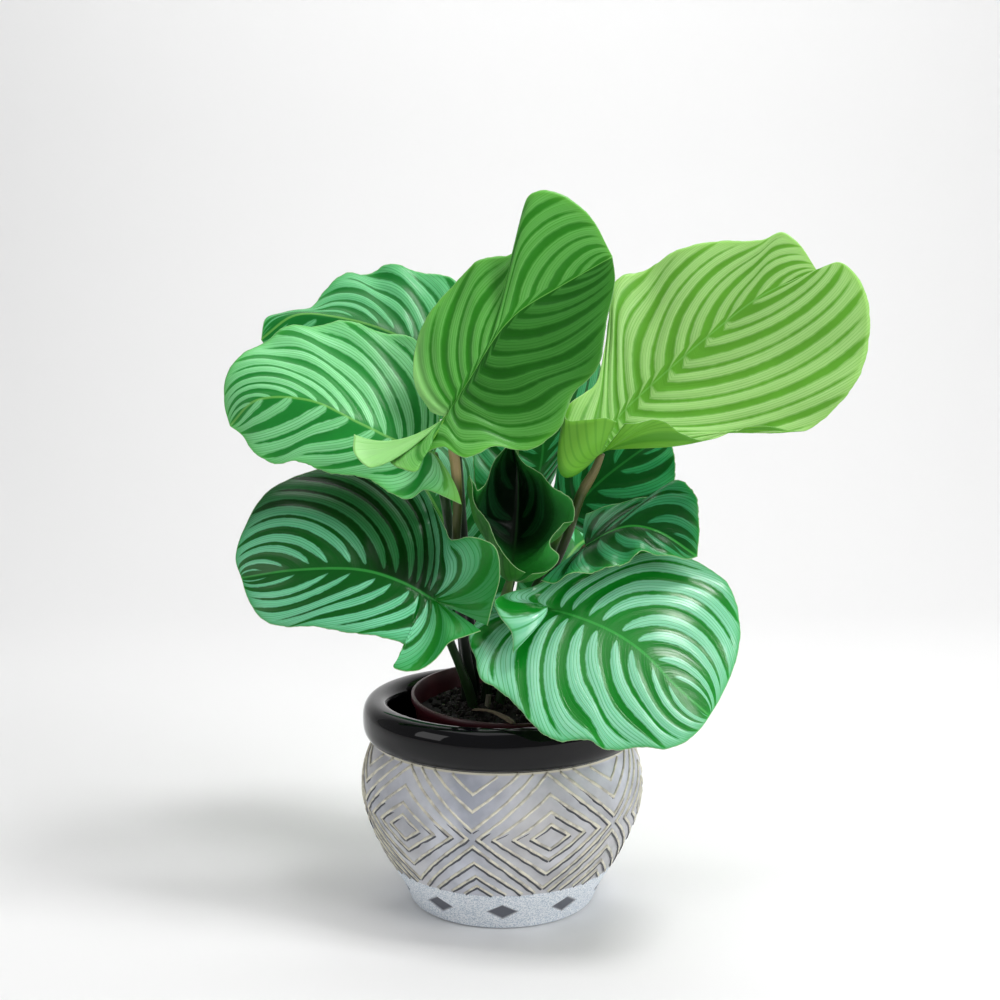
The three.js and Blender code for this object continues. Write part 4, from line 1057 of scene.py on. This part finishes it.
# %% Turned body
POT_SIDES = 640
SUNK_COUNT, SUNK_Z, SUNK_WIDE, SUNK_HIGH, SUNK_DEEP = 10, 16.0, 12.2, 7.0, 1.3
SUNK_BEVEL = 0.22            # share of a sunk diamond's half width that its sloping edge takes
UNEVEN = ((3, 0.22), (7, 0.14))   # a thrown pot is a little out of round: waves round it, and mm
UNEVEN_TURN, UNEVEN_TWIST = 0.7, 0.06   # radians, and radians for each mm of height


def revolve(profile, sides, bottom, top, push=None):
    """Turns a profile round the z axis, closed at both ends by a point on the axis. push(angle, profile)
    adds to the radius."""
    turn = np.linspace(0, 2 * np.pi, sides, endpoint=False)
    radius = np.repeat(profile[:, :1], sides, axis=1)
    if push is not None:
        radius = radius + push(turn[None, :], profile)
    rings = np.stack([radius * np.cos(turn), radius * np.sin(turn),
                      np.repeat(profile[:, 1:], sides, axis=1)], -1)
    points = np.vstack([rings.reshape(-1, 3), [[0, 0, bottom]], [[0, 0, top]]])
    return points, closed_faces(len(profile), sides)


def sunk_share(angle, profile):
    """1 inside a small diamond of the outer side, 0 outside, with a bevel between: from |angle| / half
    width + |z| / half height, with angle counted from the nearest of the diamonds."""
    z = profile[:, 1:]
    outer = np.arange(len(profile))[:, None] < np.argmax(profile[:, 1])
    period = 2 * np.pi / SUNK_COUNT
    front = angle + np.pi / 2
    off = (front + period / 2) % period - period / 2
    wide = off * belly_radius(SUNK_Z) / SUNK_WIDE
    distance = np.abs(wide) + np.abs(z - SUNK_Z) / SUNK_HIGH
    return np.clip((1 - distance) / SUNK_BEVEL, 0, 1) * outer


def pot_push(angle, profile):
    """The sunk diamonds, and a thrown pot's slight unevenness of a few tenths of a millimetre."""
    z = profile[:, 1:]
    (slow, slow_high), (quick, quick_high) = UNEVEN
    uneven = slow_high * np.sin(slow * angle + UNEVEN_TURN)
    uneven = uneven + quick_high * np.sin(quick * angle + z * UNEVEN_TWIST)
    return uneven * (z > FOOT_ROUND) - SUNK_DEEP * sunk_share(angle, profile)


pot_points, pot_faces = revolve(profile, POT_SIDES, 0.0, POT_FLOOR, pot_push)
print("pot body:", len(pot_faces), "faces")

# %% [markdown]
# ## Carving
# The belly carries rings of diamonds, one inside the other, in a lattice: each row is set half a diamond
# beside the next. The lines stand up as ridges, where the glaze has run off and shows cream, and a thin dark
# strip along their lower side is painted shadow. On the belly a diamond's four lines run straight between
# its corners, so a ridge is a small round section carried along each of them.

# %% Lines of the lattice
DIAMONDS = 6                 # round the pot
LATTICE_TURN = 18.7          # degrees from the front to a diamond's middle, to the right
LATTICE_Z, HALF_HIGH = 79.0, 48.0
HALF_TURN = 180.0 / DIAMONDS
RINGS = ((0.25, 0.19), (0.48, 0.37), (0.73, 0.61), (0.93, 0.88))   # shares of the half width and height


def diamond_lines():
    """The lines of every ring of every diamond, four straight runs each: the diamond's middle, and the
    run's ends counted from it, in degrees and mm."""
    for row in (-1, 0, 1):
        for number in range(DIAMONDS):
            middle = LATTICE_TURN + (number + 0.5 * (row != 0)) * 2 * HALF_TURN
            middle_z = LATTICE_Z + row * HALF_HIGH
            for wide_share, high_share in RINGS:
                wide, high = HALF_TURN * wide_share, HALF_HIGH * high_share
                corners = np.array([[0, high], [wide, 0], [0, -high], [-wide, 0], [0, high]])
                for start, end in zip(corners[:-1], corners[1:]):
                    yield middle, middle_z, start, end


print("lines on the belly:", len(list(diamond_lines())))

# %% Ridges
RIDGE_WIDE, RIDGE_HIGH, RIDGE_SUNK = 1.0, 0.9, 0.35
PAINTED_SHADOW_WIDE, PAINTED_SHADOW_HIGH = 2.3, 0.06   # reach and thickness of the painted shadow strip below a ridge, in mm
LOWEST, HIGHEST = SLIP_TOP + 0.6, 121.8
RIDGE_STEP = 1.5             # mm between sections
RIDGE_SHORTEST = 8           # fewest sections of a ridge
RIDGE_END = 0.7              # mm that each line runs on past its corner
WAVER_TURN, WAVER_Z, WAVER_WIDE = 0.09, 0.14, 0.2   # how unsteady the hand was: degrees, mm, share
WAVER_REACH = 7              # sections over which it drifts
RIDGE, PAINTED_SHADOW = 0, 1


def on_belly(degrees, z):
    """Points on the belly, at degrees from the front to the right."""
    turn = np.radians(degrees)
    return np.stack([belly_radius(z) * np.sin(turn), -belly_radius(z) * np.cos(turn), z], -1)


def ridge_section(path_degrees, path_z, random):
    """A half-round section of five points, then two sunk ones and the edge of a painted shadow strip below,
    carried along a line on the belly. The line wavers a little, as carving by hand does."""
    kernel = np.hanning(WAVER_REACH) / np.hanning(WAVER_REACH).sum()
    waver = [np.convolve(row, kernel, mode="same") for row in random.normal(size=(3, len(path_z)))]
    centre = on_belly(path_degrees + waver[0] * WAVER_TURN, path_z + waver[1] * WAVER_Z)
    outward = unit(centre * [1, 1, 0])
    direction = unit(np.gradient(centre, axis=0))
    down = unit(np.cross(outward, direction))
    down = down * -np.sign(down[:, 2:])
    wide = RIDGE_WIDE * (1 + WAVER_WIDE * waver[2])
    angle = np.radians([0, 45, 90, 135, 180])
    rise = np.concatenate([RIDGE_HIGH * np.sin(angle), [-RIDGE_SUNK, -RIDGE_SUNK, PAINTED_SHADOW_HIGH]])
    across = np.concatenate([np.cos(angle), [-1, 1, PAINTED_SHADOW_WIDE / RIDGE_WIDE]])
    return (centre[:, None] + outward[:, None] * rise[None, :, None]
            + down[:, None] * (wide[:, None] * across[None, :])[..., None])


def make_ridges(materials):
    """All ridges as one piece. Each run is sampled at even steps where it lies between the cut-off heights,
    and turned so that its faces look outwards."""
    random = np.random.default_rng(7)
    points, faces, kinds, count = [], [], [], 0
    for middle, middle_z, start, end in diamond_lines():
        length = math.hypot(math.radians(end[0] - start[0]) * BELLY_R, end[1] - start[1])
        over = RIDGE_END / length
        share = np.linspace(-over, 1 + over, max(RIDGE_SHORTEST, int(length / RIDGE_STEP)))[:, None]
        run = start + (end - start) * share
        if end[0] < start[0]:
            run = run[::-1]
        z = middle_z + run[:, 1]
        keep = (z > LOWEST) & (z < HIGHEST)
        if keep.sum() < RIDGE_SHORTEST:
            continue
        section = ridge_section(middle + run[keep, 0], z[keep], random)
        steps, width = section.shape[:2]
        quads = grid_faces(steps, width, closed_columns=True)[:, ::-1]
        ends = np.array([np.arange(width), (steps - 1) * width + np.arange(width)[::-1]])
        faces += (quads + count).tolist() + (ends + count).tolist()
        # the last two columns carry the strip of painted shadow below the ridge
        by_column = [PAINTED_SHADOW if column >= width - 2 else RIDGE for column in range(width)]
        kinds += by_column * (steps - 1) + [RIDGE] * len(ends)
        points.append(section.reshape(-1, 3))
        count += steps * width
    piece = make_piece("pot_carved_ridges", np.vstack(points), faces)
    for material in materials:
        piece.data.materials.append(material)
    piece.data.polygons.foreach_set("material_index", np.array(kinds, np.int32))
    return piece


print("a ridge stands", RIDGE_HIGH, "mm high and", 2 * RIDGE_WIDE, "mm wide")

# %% [markdown]
# ## Glazes
# Black glaze is glass over clay: dark, very smooth, with clear reflections. The belly's grey glaze is thin
# and satin, cloudy where it lay thicker. The ridges show bare cream clay with grey left in places. The
# slip on the foot is matt, bluish white and speckled.

# %% Glazes of the body
SWELL_PATCH = 18.18          # mm, the faint waves in the melt of the black glaze
CLOUD_PATCH, CLOUD_SPAN = 35.71, (0.35, 0.65)   # mm, thicker and thinner grey glaze
WARM_PATCH, WARM_SPAN, WARM_SHOWN = 90.91, (0.4, 0.7), 0.5   # mm, where clay warms it from below
SPECK, SPECK_SPAN = 1.111, (0.35, 0.6)   # mm, grit in the slip
SLIP_PATCH, SLIP_WAVER, SLIP_BLEND = 6.25, 0.8, 0.3   # mm, along and up the slip's brushed edge
LINE_Z, LINE_EDGE = 122.4, (1.2, 0.7)   # a bare cream line just under the roll, and mm from its middle
SATIN, MATT = 0.40, 0.85     # roughness of the grey glaze and of the slip


def black_glaze():
    """Black gloss glaze, poured and fired to glass: almost no roughness, faint unevenness of the melt."""
    material, tree, shader = new_material(
        "black_gloss_glaze", Base_Color=linear("#050508"), Roughness=0.05, IOR=1.5, Specular_IOR_Level=0.3)
    where = add(tree, "TexCoord", output="Object")
    swell = add(tree, "TexNoise", {"Vector": where, "Scale": per_metre(SWELL_PATCH), "Detail": 1.0})
    bump = add(tree, "Bump", {"Height": swell, "Strength": 0.12, "Distance": 1.0 * MM})
    tree.links.new(bump, shader.inputs["Normal"])
    return material


def body_glaze():
    """Satin grey glaze above the slip's edge, with one bare cream line under the roll, and matt speckled
    slip below it, told apart by height. The sunk diamonds have no slip and are a darker grey than the glaze."""
    material, tree, shader = new_material("grey_satin_glaze", IOR=1.5)
    where = add(tree, "TexCoord", output="Object")
    height = add(tree, "SeparateXYZ", where, output="Z")
    clouds = add(tree, "TexNoise", {"Vector": where, "Scale": per_metre(CLOUD_PATCH), "Detail": 4.0})
    clouded = add(tree, "MapRange", clouds, *CLOUD_SPAN)
    grey = add(tree, "Mix", {0: clouded, 6: linear("#a4a8b4"), 7: linear("#dadde6")}, **COLOURS)
    warm = add(tree, "TexNoise", {"Vector": where, "Scale": per_metre(WARM_PATCH), "Detail": 2.0})
    warmth = add(tree, "MapRange", warm, *WARM_SPAN, 0.0, WARM_SHOWN)
    grey = add(tree, "Mix", {0: warmth, 6: grey, 7: linear("#a8a296")}, **COLOURS)
    off_line = add(tree, "Math", height, LINE_Z * MM, operation="SUBTRACT")
    off_line = add(tree, "Math", off_line, operation="ABSOLUTE")
    bare = add(tree, "MapRange", off_line, *(edge * MM for edge in LINE_EDGE))
    grey = add(tree, "Mix", {0: bare, 6: grey, 7: linear("#d8d4c2")}, **COLOURS)
    specks = add(tree, "TexNoise", {"Vector": where, "Scale": per_metre(SPECK), "Detail": 2.0})
    speckled = add(tree, "MapRange", specks, *SPECK_SPAN)
    white = add(tree, "Mix", {0: speckled, 6: linear("#bccad8"), 7: linear("#f4f8fc")}, **COLOURS)
    ragged = add(tree, "TexNoise", {"Vector": where, "Scale": per_metre(SLIP_PATCH), "Detail": 2.0})
    edge = add(tree, "MapRange", ragged, 0.0, 1.0, (SLIP_TOP - SLIP_WAVER) * MM, (SLIP_TOP + SLIP_WAVER) * MM)
    below = add(tree, "Math", edge, height, operation="SUBTRACT")
    in_slip = add(tree, "MapRange", below, -SLIP_BLEND * MM, SLIP_BLEND * MM)
    sunk = add(tree, "Attribute", output="Fac", attribute_name="sunk")
    slip = add(tree, "Math", in_slip, sunk, operation="SUBTRACT", use_clamp=True)
    colour = add(tree, "Mix", {0: slip, 6: grey, 7: white}, **COLOURS)
    colour = add(tree, "Mix", {0: sunk, 6: colour, 7: linear("#5f626b")}, **COLOURS)
    tree.links.new(colour, shader.inputs["Base Color"])
    rough = add(tree, "MapRange", {"Value": slip, "To Min": SATIN, "To Max": MATT})
    tree.links.new(rough, shader.inputs["Roughness"])
    grit = add(tree, "Math", specks, slip, operation="MULTIPLY")
    bump = add(tree, "Bump", {"Height": grit, "Strength": 0.6, "Distance": 0.5 * MM})
    tree.links.new(bump, shader.inputs["Normal"])
    return material


def make_pot():
    """The pot's body, with the share of the sunk diamonds stored at each point."""
    piece = make_piece("decor_pot_fine", pot_points, pot_faces, "decor_pot")
    piece.data.materials.append(body_glaze())
    piece.data.materials.append(black_glaze())
    turn = np.linspace(0, 2 * np.pi, POT_SIDES, endpoint=False)
    sunk = np.append(sunk_share(turn[None, :], profile), [0, 0]).astype(np.float32)
    piece.data.attributes.new("sunk", "FLOAT", "POINT").data.foreach_set("value", sunk)
    finish = np.concatenate([
        np.repeat(profile_finish[1:], POT_SIDES), np.zeros(POT_SIDES), np.ones(POT_SIDES)])
    piece.data.polygons.foreach_set("material_index", finish.astype(np.int32))
    return piece


print("pot:", len(make_pot().data.polygons), "faces")

# %% Clay of the ridges and their painted shadow
WORN_PATCH, WORN_SPAN = 7.692, (0.45, 0.66)   # mm, where some grey is left on a ridge


def bare_ridge():
    """Cream clay where the glaze has run off, with grey left in patches."""
    material, tree, shader = new_material("cream_bare_clay", Roughness=0.6, IOR=1.5)
    where = add(tree, "TexCoord", output="Object")
    patches = add(tree, "TexNoise", {"Vector": where, "Scale": per_metre(WORN_PATCH), "Detail": 3.0})
    worn = add(tree, "MapRange", patches, *WORN_SPAN)
    colour = add(tree, "Mix", {0: worn, 6: linear("#dedac8"), 7: linear("#b0aca2")}, **COLOURS)
    tree.links.new(colour, shader.inputs["Base Color"])
    return material


def painted_ridge_shadow():
    """Painted shadow along the lower side of each ridge: dark grey, and smoother than the rest."""
    material, _, _ = new_material(
        "painted_ridge_shadow_grey", Base_Color=linear("#54575f"), Roughness=0.3, IOR=1.5)
    return material


print("ridges:", len(make_ridges((bare_ridge(), painted_ridge_shadow())).data.polygons), "faces")

# %% [markdown]
# ## Grow pot
# It is blown or injection-moulded polypropylene, a millimetre or so thick, with a stiff lip and drain holes
# in its floor. The plastic is reddish brown and a little scuffed.

# %% Grow pot
GROW_SIDES, GROW_OUTSIDE, GROW_INSIDE = 180, 16, 20   # sides, and rings up its outside and down its inside
DRAIN_HOLES, DRAIN_R, DRAIN_CIRCLE = 5, 5.0, 32.0
DRILL_SIDES = 24
DRILL_FROM, DRILL_TO = -3.0, 4.5   # height of the drill below and above the pot's floor, in mm
SHARP = math.radians(40)     # edges that turn by more than this stay sharp
SCUFF_PATCH = 14.29          # mm


def grow_radius(height):
    """Straight taper from base to rim."""
    return GROW_BASE + (GROW_RIM - GROW_BASE) * np.asarray(height, float) / GROW_HEIGHT


def make_drills():
    """One mesh object of upright tubes, one for each drain hole, leaned like the pot."""
    points, faces, count = [], [], 0
    for angle in 2 * np.pi * np.arange(DRAIN_HOLES) / DRAIN_HOLES:
        x, y = DRAIN_CIRCLE * math.cos(angle), DRAIN_CIRCLE * math.sin(angle)
        one, one_faces = tube(np.array([[x, y, DRILL_FROM], [x, y, DRILL_TO]]), DRAIN_R, DRILL_SIDES)
        faces += [[number + count for number in face] for face in one_faces]
        points.append(one)
        count += len(one)
    mesh = bpy.data.meshes.new("drills")
    mesh.from_pydata((lean(np.vstack(points)) * MM).tolist(), [], faces)
    drills = bpy.data.objects.new("drills", mesh)
    bpy.context.scene.collection.objects.link(drills)
    return drills


def grow_profile():
    """Up the tapered outside, round the lip, which stands out a little, and down the inside."""
    lip = GROW_HEIGHT - GROW_LIP
    outer = GROW_RIM + GROW_LIP_OUT
    heights = np.linspace(0, lip, GROW_OUTSIDE)
    inner = np.linspace(GROW_HEIGHT - 1.0, GROW_WALL, GROW_INSIDE)
    return np.vstack([
        np.stack([grow_radius(heights), heights], -1),
        [[outer - 0.2, lip + 0.05], [outer, lip + 0.6], [outer, GROW_HEIGHT - 0.8],
         [outer - 0.5, GROW_HEIGHT - 0.1], [outer - 1.2, GROW_HEIGHT], [GROW_RIM - 1.0, GROW_HEIGHT]],
        np.stack([grow_radius(inner) - GROW_WALL, inner], -1)])


def make_grow_pot(material):
    """The profile turned and leaned. The drain holes are cut with one Boolean."""
    points, faces = revolve(grow_profile(), GROW_SIDES, 0.0, GROW_WALL)
    piece = make_piece("nursery_pot_fine", lean(points), faces, "nursery_pot")
    drills = make_drills()
    boolean = piece.modifiers.new("drain holes", "BOOLEAN")
    boolean.operation = "DIFFERENCE"
    boolean.solver = "EXACT"
    boolean.object = drills
    evaluated = piece.evaluated_get(bpy.context.evaluated_depsgraph_get())
    cut = bpy.data.meshes.new_from_object(evaluated)
    piece.modifiers.clear()
    piece.data = cut
    bpy.data.objects.remove(drills)
    cut.materials.clear()
    cut.materials.append(material)
    cut.shade_smooth()
    cut.set_sharp_from_angle(angle=SHARP)
    return piece


def grow_pot_plastic():
    """Injection-moulded polypropylene: satin, with faint flow marks, lighter where it is scuffed."""
    material, tree, shader = new_material("moulded_polypropylene", Roughness=0.38, IOR=1.49)
    where = add(tree, "TexCoord", output="Object")
    scuffs = add(tree, "TexNoise", {"Vector": where, "Scale": per_metre(SCUFF_PATCH), "Detail": 5.0})
    colour = add(tree, "Mix", {0: scuffs, 6: linear("#2c0a11"), 7: linear("#521923")}, **COLOURS)
    tree.links.new(colour, shader.inputs["Base Color"])
    bump = add(tree, "Bump", {"Height": scuffs, "Strength": 0.15, "Distance": 0.5 * MM})
    tree.links.new(bump, shader.inputs["Normal"])
    return material


print("grow pot:", len(make_grow_pot(grow_pot_plastic()).data.polygons), "faces")

# %% [markdown]
# ## Soil
# Potting mix is dark peat with bark crumbs and a few white grains of perlite. A lumpy bed carries several
# hundred loose crumbs. Each crumb is one small ball with its points pushed in and out, and a seeded draw
# gives its size and place.

# %% Soil bed
BED_RINGS, BED_SIDES, BED_WALL_RINGS = 60, 180, 8
WALL_UNDER = 3.0             # how far under the mound's foot the wall's last ring lies, in mm
LUMPS_FADE = 12              # the fine lumps fade over this fraction of the radius, one twelfth
PEAT_FIBRE, PEAT_SPAN = 2.381, (0.4, 0.7)   # mm


def fine_lumps(x, y):
    """Lumps about 7 mm and 3 mm across, from sines whose phase is itself bent by a sine."""
    clods = 0.55 * np.sin(x * 0.9 + 2 * np.sin(y * 0.7)) * np.cos(y * 1.1 + np.sin(x * 0.8))
    return clods + 0.35 * np.sin(x * 2.3 + 1.7 * np.sin(y * 1.9)) * np.sin(y * 2.1 - 0.6)


def make_bed(material):
    """A disc of rings over the mound, with fine lumps that fade at its edge, closed by a wall and a floor
    below."""
    outer = grow_radius(GROW_HEIGHT - SOIL_BELOW) - GROW_WALL - GAP
    share = np.linspace(1, 0.02, BED_RINGS)[:, None]
    turn = np.linspace(0, 2 * np.pi, BED_SIDES, endpoint=False)[None, :]
    x, y = outer * share * np.cos(turn), outer * share * np.sin(turn)
    top = np.stack([x, y, soil_top(x, y) + fine_lumps(x, y) * np.minimum((1 - share) * LUMPS_FADE, 1)], -1)
    low_z = GROW_WALL + GAP
    heights = np.linspace(low_z, GROW_HEIGHT - SOIL_BELOW - WALL_UNDER, BED_WALL_RINGS)[:, None]
    wall_r = grow_radius(heights) - GROW_WALL - GAP
    wall = np.stack([wall_r * np.cos(turn), wall_r * np.sin(turn), np.repeat(heights, BED_SIDES, 1)], -1)
    rings = np.concatenate([wall, top])
    points = np.vstack([rings.reshape(-1, 3), [[0, 0, low_z]], [[0, 0, soil_top(0.0, 0.0)]]])
    faces = closed_faces(len(rings), BED_SIDES)
    piece = make_piece("soil_bed", lean(points), faces, "soil")
    piece.data.materials.append(material)
    return piece


def peat(name, dark, light):
    """Moist peat or bark, milled and sieved: almost black, rough, with brown fibres."""
    material, tree, shader = new_material(name, Roughness=0.8, IOR=1.4)
    where = add(tree, "TexCoord", output="Object")
    fibres = add(tree, "TexNoise", {"Vector": where, "Scale": per_metre(PEAT_FIBRE), "Detail": 4.0})
    share = add(tree, "MapRange", fibres, *PEAT_SPAN)
    colour = add(tree, "Mix", {0: share, 6: linear(dark), 7: linear(light)}, **COLOURS)
    tree.links.new(colour, shader.inputs["Base Color"])
    bump = add(tree, "Bump", {"Height": fibres, "Strength": 0.8, "Distance": 1.0 * MM})
    tree.links.new(bump, shader.inputs["Normal"])
    return material


print("soil bed:", len(make_bed(peat("moist_peat", "#090706", "#1c1512")).data.polygons), "faces")

# %% Crumbs
CRUMBS, CRUMB_SIZES = 900, (0.8, 3.4)   # how many, and smallest and largest, in mm
GRAINS, GRAIN_SIZES = 34, (0.5, 1.1)
CRUMB_EDGE = 5.0             # mm of bare soil along the grow pot's wall
CRUMB_PROUD = 0.35           # how far a crumb's middle stands above the soil, as a share of its size


def small_ball():
    """An icosahedron's 12 points and 20 faces."""
    g = (1 + 5**0.5) / 2
    points = np.array([[-1, g, 0], [1, g, 0], [-1, -g, 0], [1, -g, 0], [0, -1, g], [0, 1, g],
                       [0, -1, -g], [0, 1, -g], [g, 0, -1], [g, 0, 1], [-g, 0, -1], [-g, 0, 1]])
    faces = np.array([[0, 11, 5], [0, 5, 1], [0, 1, 7], [0, 7, 10], [0, 10, 11], [1, 5, 9], [5, 11, 4],
                      [11, 10, 2], [10, 7, 6], [7, 1, 8], [3, 9, 4], [3, 4, 2], [3, 2, 6], [3, 6, 8],
                      [3, 8, 9], [4, 9, 5], [2, 4, 11], [6, 2, 10], [8, 6, 7], [9, 8, 1]])
    return unit(points), faces


def scatter(name, count, sizes, material, seed):
    """Balls of random size and squash on the soil, all in one mesh. Their places are even over the disc:
    the radius goes with the square root of a draw."""
    random = np.random.default_rng(seed)
    ball, ball_faces = small_ball()
    low, high = sizes
    reach = (grow_radius(GROW_HEIGHT - SOIL_BELOW) - CRUMB_EDGE) * np.sqrt(random.random(count))
    turn = 2 * np.pi * random.random(count)
    x, y = reach * np.cos(turn), reach * np.sin(turn)
    size = low + (high - low) * random.random(count) ** 2
    stretch = 0.6 + 0.8 * random.random((count, 1, 3))
    rough = 0.8 + 0.4 * random.random((count, len(ball), 1))
    shapes = ball[None] * rough * stretch * size[:, None, None]
    centres = np.stack([x, y, soil_top(x, y) + CRUMB_PROUD * size], -1)
    points = lean((shapes + centres[:, None]).reshape(-1, 3))
    faces = (ball_faces[None] + len(ball) * np.arange(count)[:, None, None]).reshape(-1, 3)
    piece = make_piece(name, points, faces.tolist(), smooth=False)
    piece.data.materials.append(material)
    return piece


scatter("soil_crumbs", CRUMBS, CRUMB_SIZES, peat("bark_crumbs", "#0c0908", "#2a201b"), seed=3)
perlite, _, _ = new_material("perlite_grains", Base_Color=linear("#8d877e"), Roughness=0.9)
scatter("soil_perlite", GRAINS, GRAIN_SIZES, perlite, seed=4)
print(CRUMBS, "crumbs and", GRAINS, "grains")

# %% [markdown]
# ## Old parts of the plant
# A dry sheath, the papery base of a dead leaf, lies over the grow pot's edge, and a cut stump stands by it.
# Both are tan, matt and fibrous. The sheath is a folded ribbon and the stump a short tube with a ragged end.

# %% Dry tissue
FIBRES_ACROSS, FIBRES_ALONG = 30.0, 2.5   # on the sheath a fibre is 0.2 mm wide and 30 mm long


def dry_tissue(name, light, dark):
    """Dead leaf tissue: tan, matt, with long fibres that follow the piece's own UV map."""
    material, tree, shader = new_material(name, Roughness=0.75, IOR=1.4)
    stretched = add(tree, "Mapping", {
        "Vector": add(tree, "UVMap", uv_map="fibre"), "Scale": (FIBRES_ACROSS, FIBRES_ALONG, 1.0)})
    fibres = add(tree, "TexNoise", {"Vector": stretched, "Scale": 1.0, "Detail": 4.0})
    colour = add(tree, "Mix", {0: fibres, 6: linear(dark), 7: linear(light)}, **COLOURS)
    tree.links.new(colour, shader.inputs["Base Color"])
    bump = add(tree, "Bump", {"Height": fibres, "Strength": 0.6, "Distance": 0.6 * MM})
    tree.links.new(bump, shader.inputs["Normal"])
    return material


print("dry tissue:", FIBRES_ACROSS, "fibres across")

# %% Sheath
SHEATH_PATH = np.array([[-20.0, -16.0], [-10.0, -36.0], [2.0, -64.0], [8.0, -77.0]])
SHEATH_CLEAR, SHEATH_WIDE, SHEATH_THICK, SHEATH_FOLD = 1.2, 6.0, 0.7, 0.8
SHEATH_STEPS, SHEATH_ACROSS = 60, 13


def sheath_heights():
    """From the mound to the grow pot's edge, which is reached at the path's third point."""
    edge = LEAN_RISE + GROW_HEIGHT * math.cos(LEAN)
    edges = edge + SHEATH_PATH[:, 1] * math.sin(LEAN) + SHEATH_CLEAR
    mound = ground_height(*SHEATH_PATH[0]) + SHEATH_CLEAR
    share = np.minimum(np.arange(len(SHEATH_PATH)) / (len(SHEATH_PATH) - 2), 1)
    return mound + (edges - mound) * share


def make_sheath():
    """A ribbon whose section is folded along its middle: height fold * (1 - |across|). Its width tapers
    unevenly and its edges waver."""
    path = np.column_stack([SHEATH_PATH, sheath_heights()])
    t = np.linspace(0, 1, SHEATH_STEPS)
    line, _ = along(curve_samples(path), t)
    direction = unit(np.gradient(line, axis=0))
    sideways = unit(np.cross(direction, [0.0, 0.0, 1.0]))
    up = np.cross(sideways, direction)
    across = np.linspace(-1, 1, SHEATH_ACROSS)
    half = SHEATH_WIDE / 2 * (0.86 + 0.14 * np.sin(9 * t + 0.5) - 0.25 * t**4)
    fold = SHEATH_FOLD * (1 - np.abs(across))[None, :] + 0.12 * np.sin(40 * t)[:, None] * across[None, :]
    middle = (line[:, None] + sideways[:, None] * (half[:, None] * across)[..., None]
              + up[:, None] * fold[..., None])
    above = middle + up[:, None] * SHEATH_THICK / 2
    below = middle - up[:, None] * SHEATH_THICK / 2
    section = np.concatenate([above, below[:, ::-1]], axis=1)
    rows, columns = section.shape[:2]
    quads = grid_faces(rows, columns, closed_columns=True)
    ends = [list(range(columns))[::-1], list(range((rows - 1) * columns, rows * columns))]
    piece = make_piece("dry_sheath_fine", section, [*quads.tolist(), *ends], "dry_sheath")
    corners = corner_vertices(piece)
    column = np.minimum(corners % columns, columns - 1 - corners % columns)
    give_uv(piece, "fibre", np.stack([column / SHEATH_ACROSS, (corners // columns) / rows], -1))
    piece.data.materials.append(dry_tissue("papery_leaf_sheath", "#8c7b66", "#463b30"))
    return piece


print("sheath:", len(make_sheath().data.polygons), "faces")

# %% Stump
STUMP_GROUND, STUMP_R, STUMP_HEIGHT, STUMP_BURIED = (-11.0, -11.0), 2.2, 10.0, 7.0
STUMP_LEAN = 1.0             # how far its top stands off its foot, in mm each way
STUMP_STEPS, STUMP_SIDES, STUMP_TORN = 24, 20, 0.9
STUMP_AT, STUMP_SHARE = (0, 0.6, 1), (1, 1, 0.86)   # it narrows a little towards its end


def make_stump():
    """A short tube, its upper end torn: the last ring's points stand at different heights."""
    x, y = STUMP_GROUND
    ground = float(ground_height(x, y))
    path = np.array([[x, y, ground - STUMP_BURIED], [x, y, ground],
                     [x + STUMP_LEAN, y + STUMP_LEAN, ground + STUMP_HEIGHT]])
    t = np.linspace(0, 1, STUMP_STEPS)
    line, _ = along(curve_samples(path), t)
    points, faces = tube(line, STUMP_R * np.interp(t, STUMP_AT, STUMP_SHARE), STUMP_SIDES)
    number = np.arange(STUMP_SIDES)
    last_ring = (STUMP_STEPS - 1) * STUMP_SIDES + number
    points[last_ring, 2] += STUMP_TORN * np.sin(number * 2.1) * (number % 3 - 1)
    piece = make_piece("petiole_stub_fine", points, faces, "petiole_stub")
    corners = corner_vertices(piece)
    share = corners // STUMP_SIDES / STUMP_STEPS
    give_uv(piece, "fibre", np.stack([round_share(corners, STUMP_SIDES), share], -1))
    piece.data.materials.append(dry_tissue("dry_stalk_tissue", "#8d857a", "#4c453d"))
    return piece


print("stump:", len(make_stump().data.polygons), "faces")
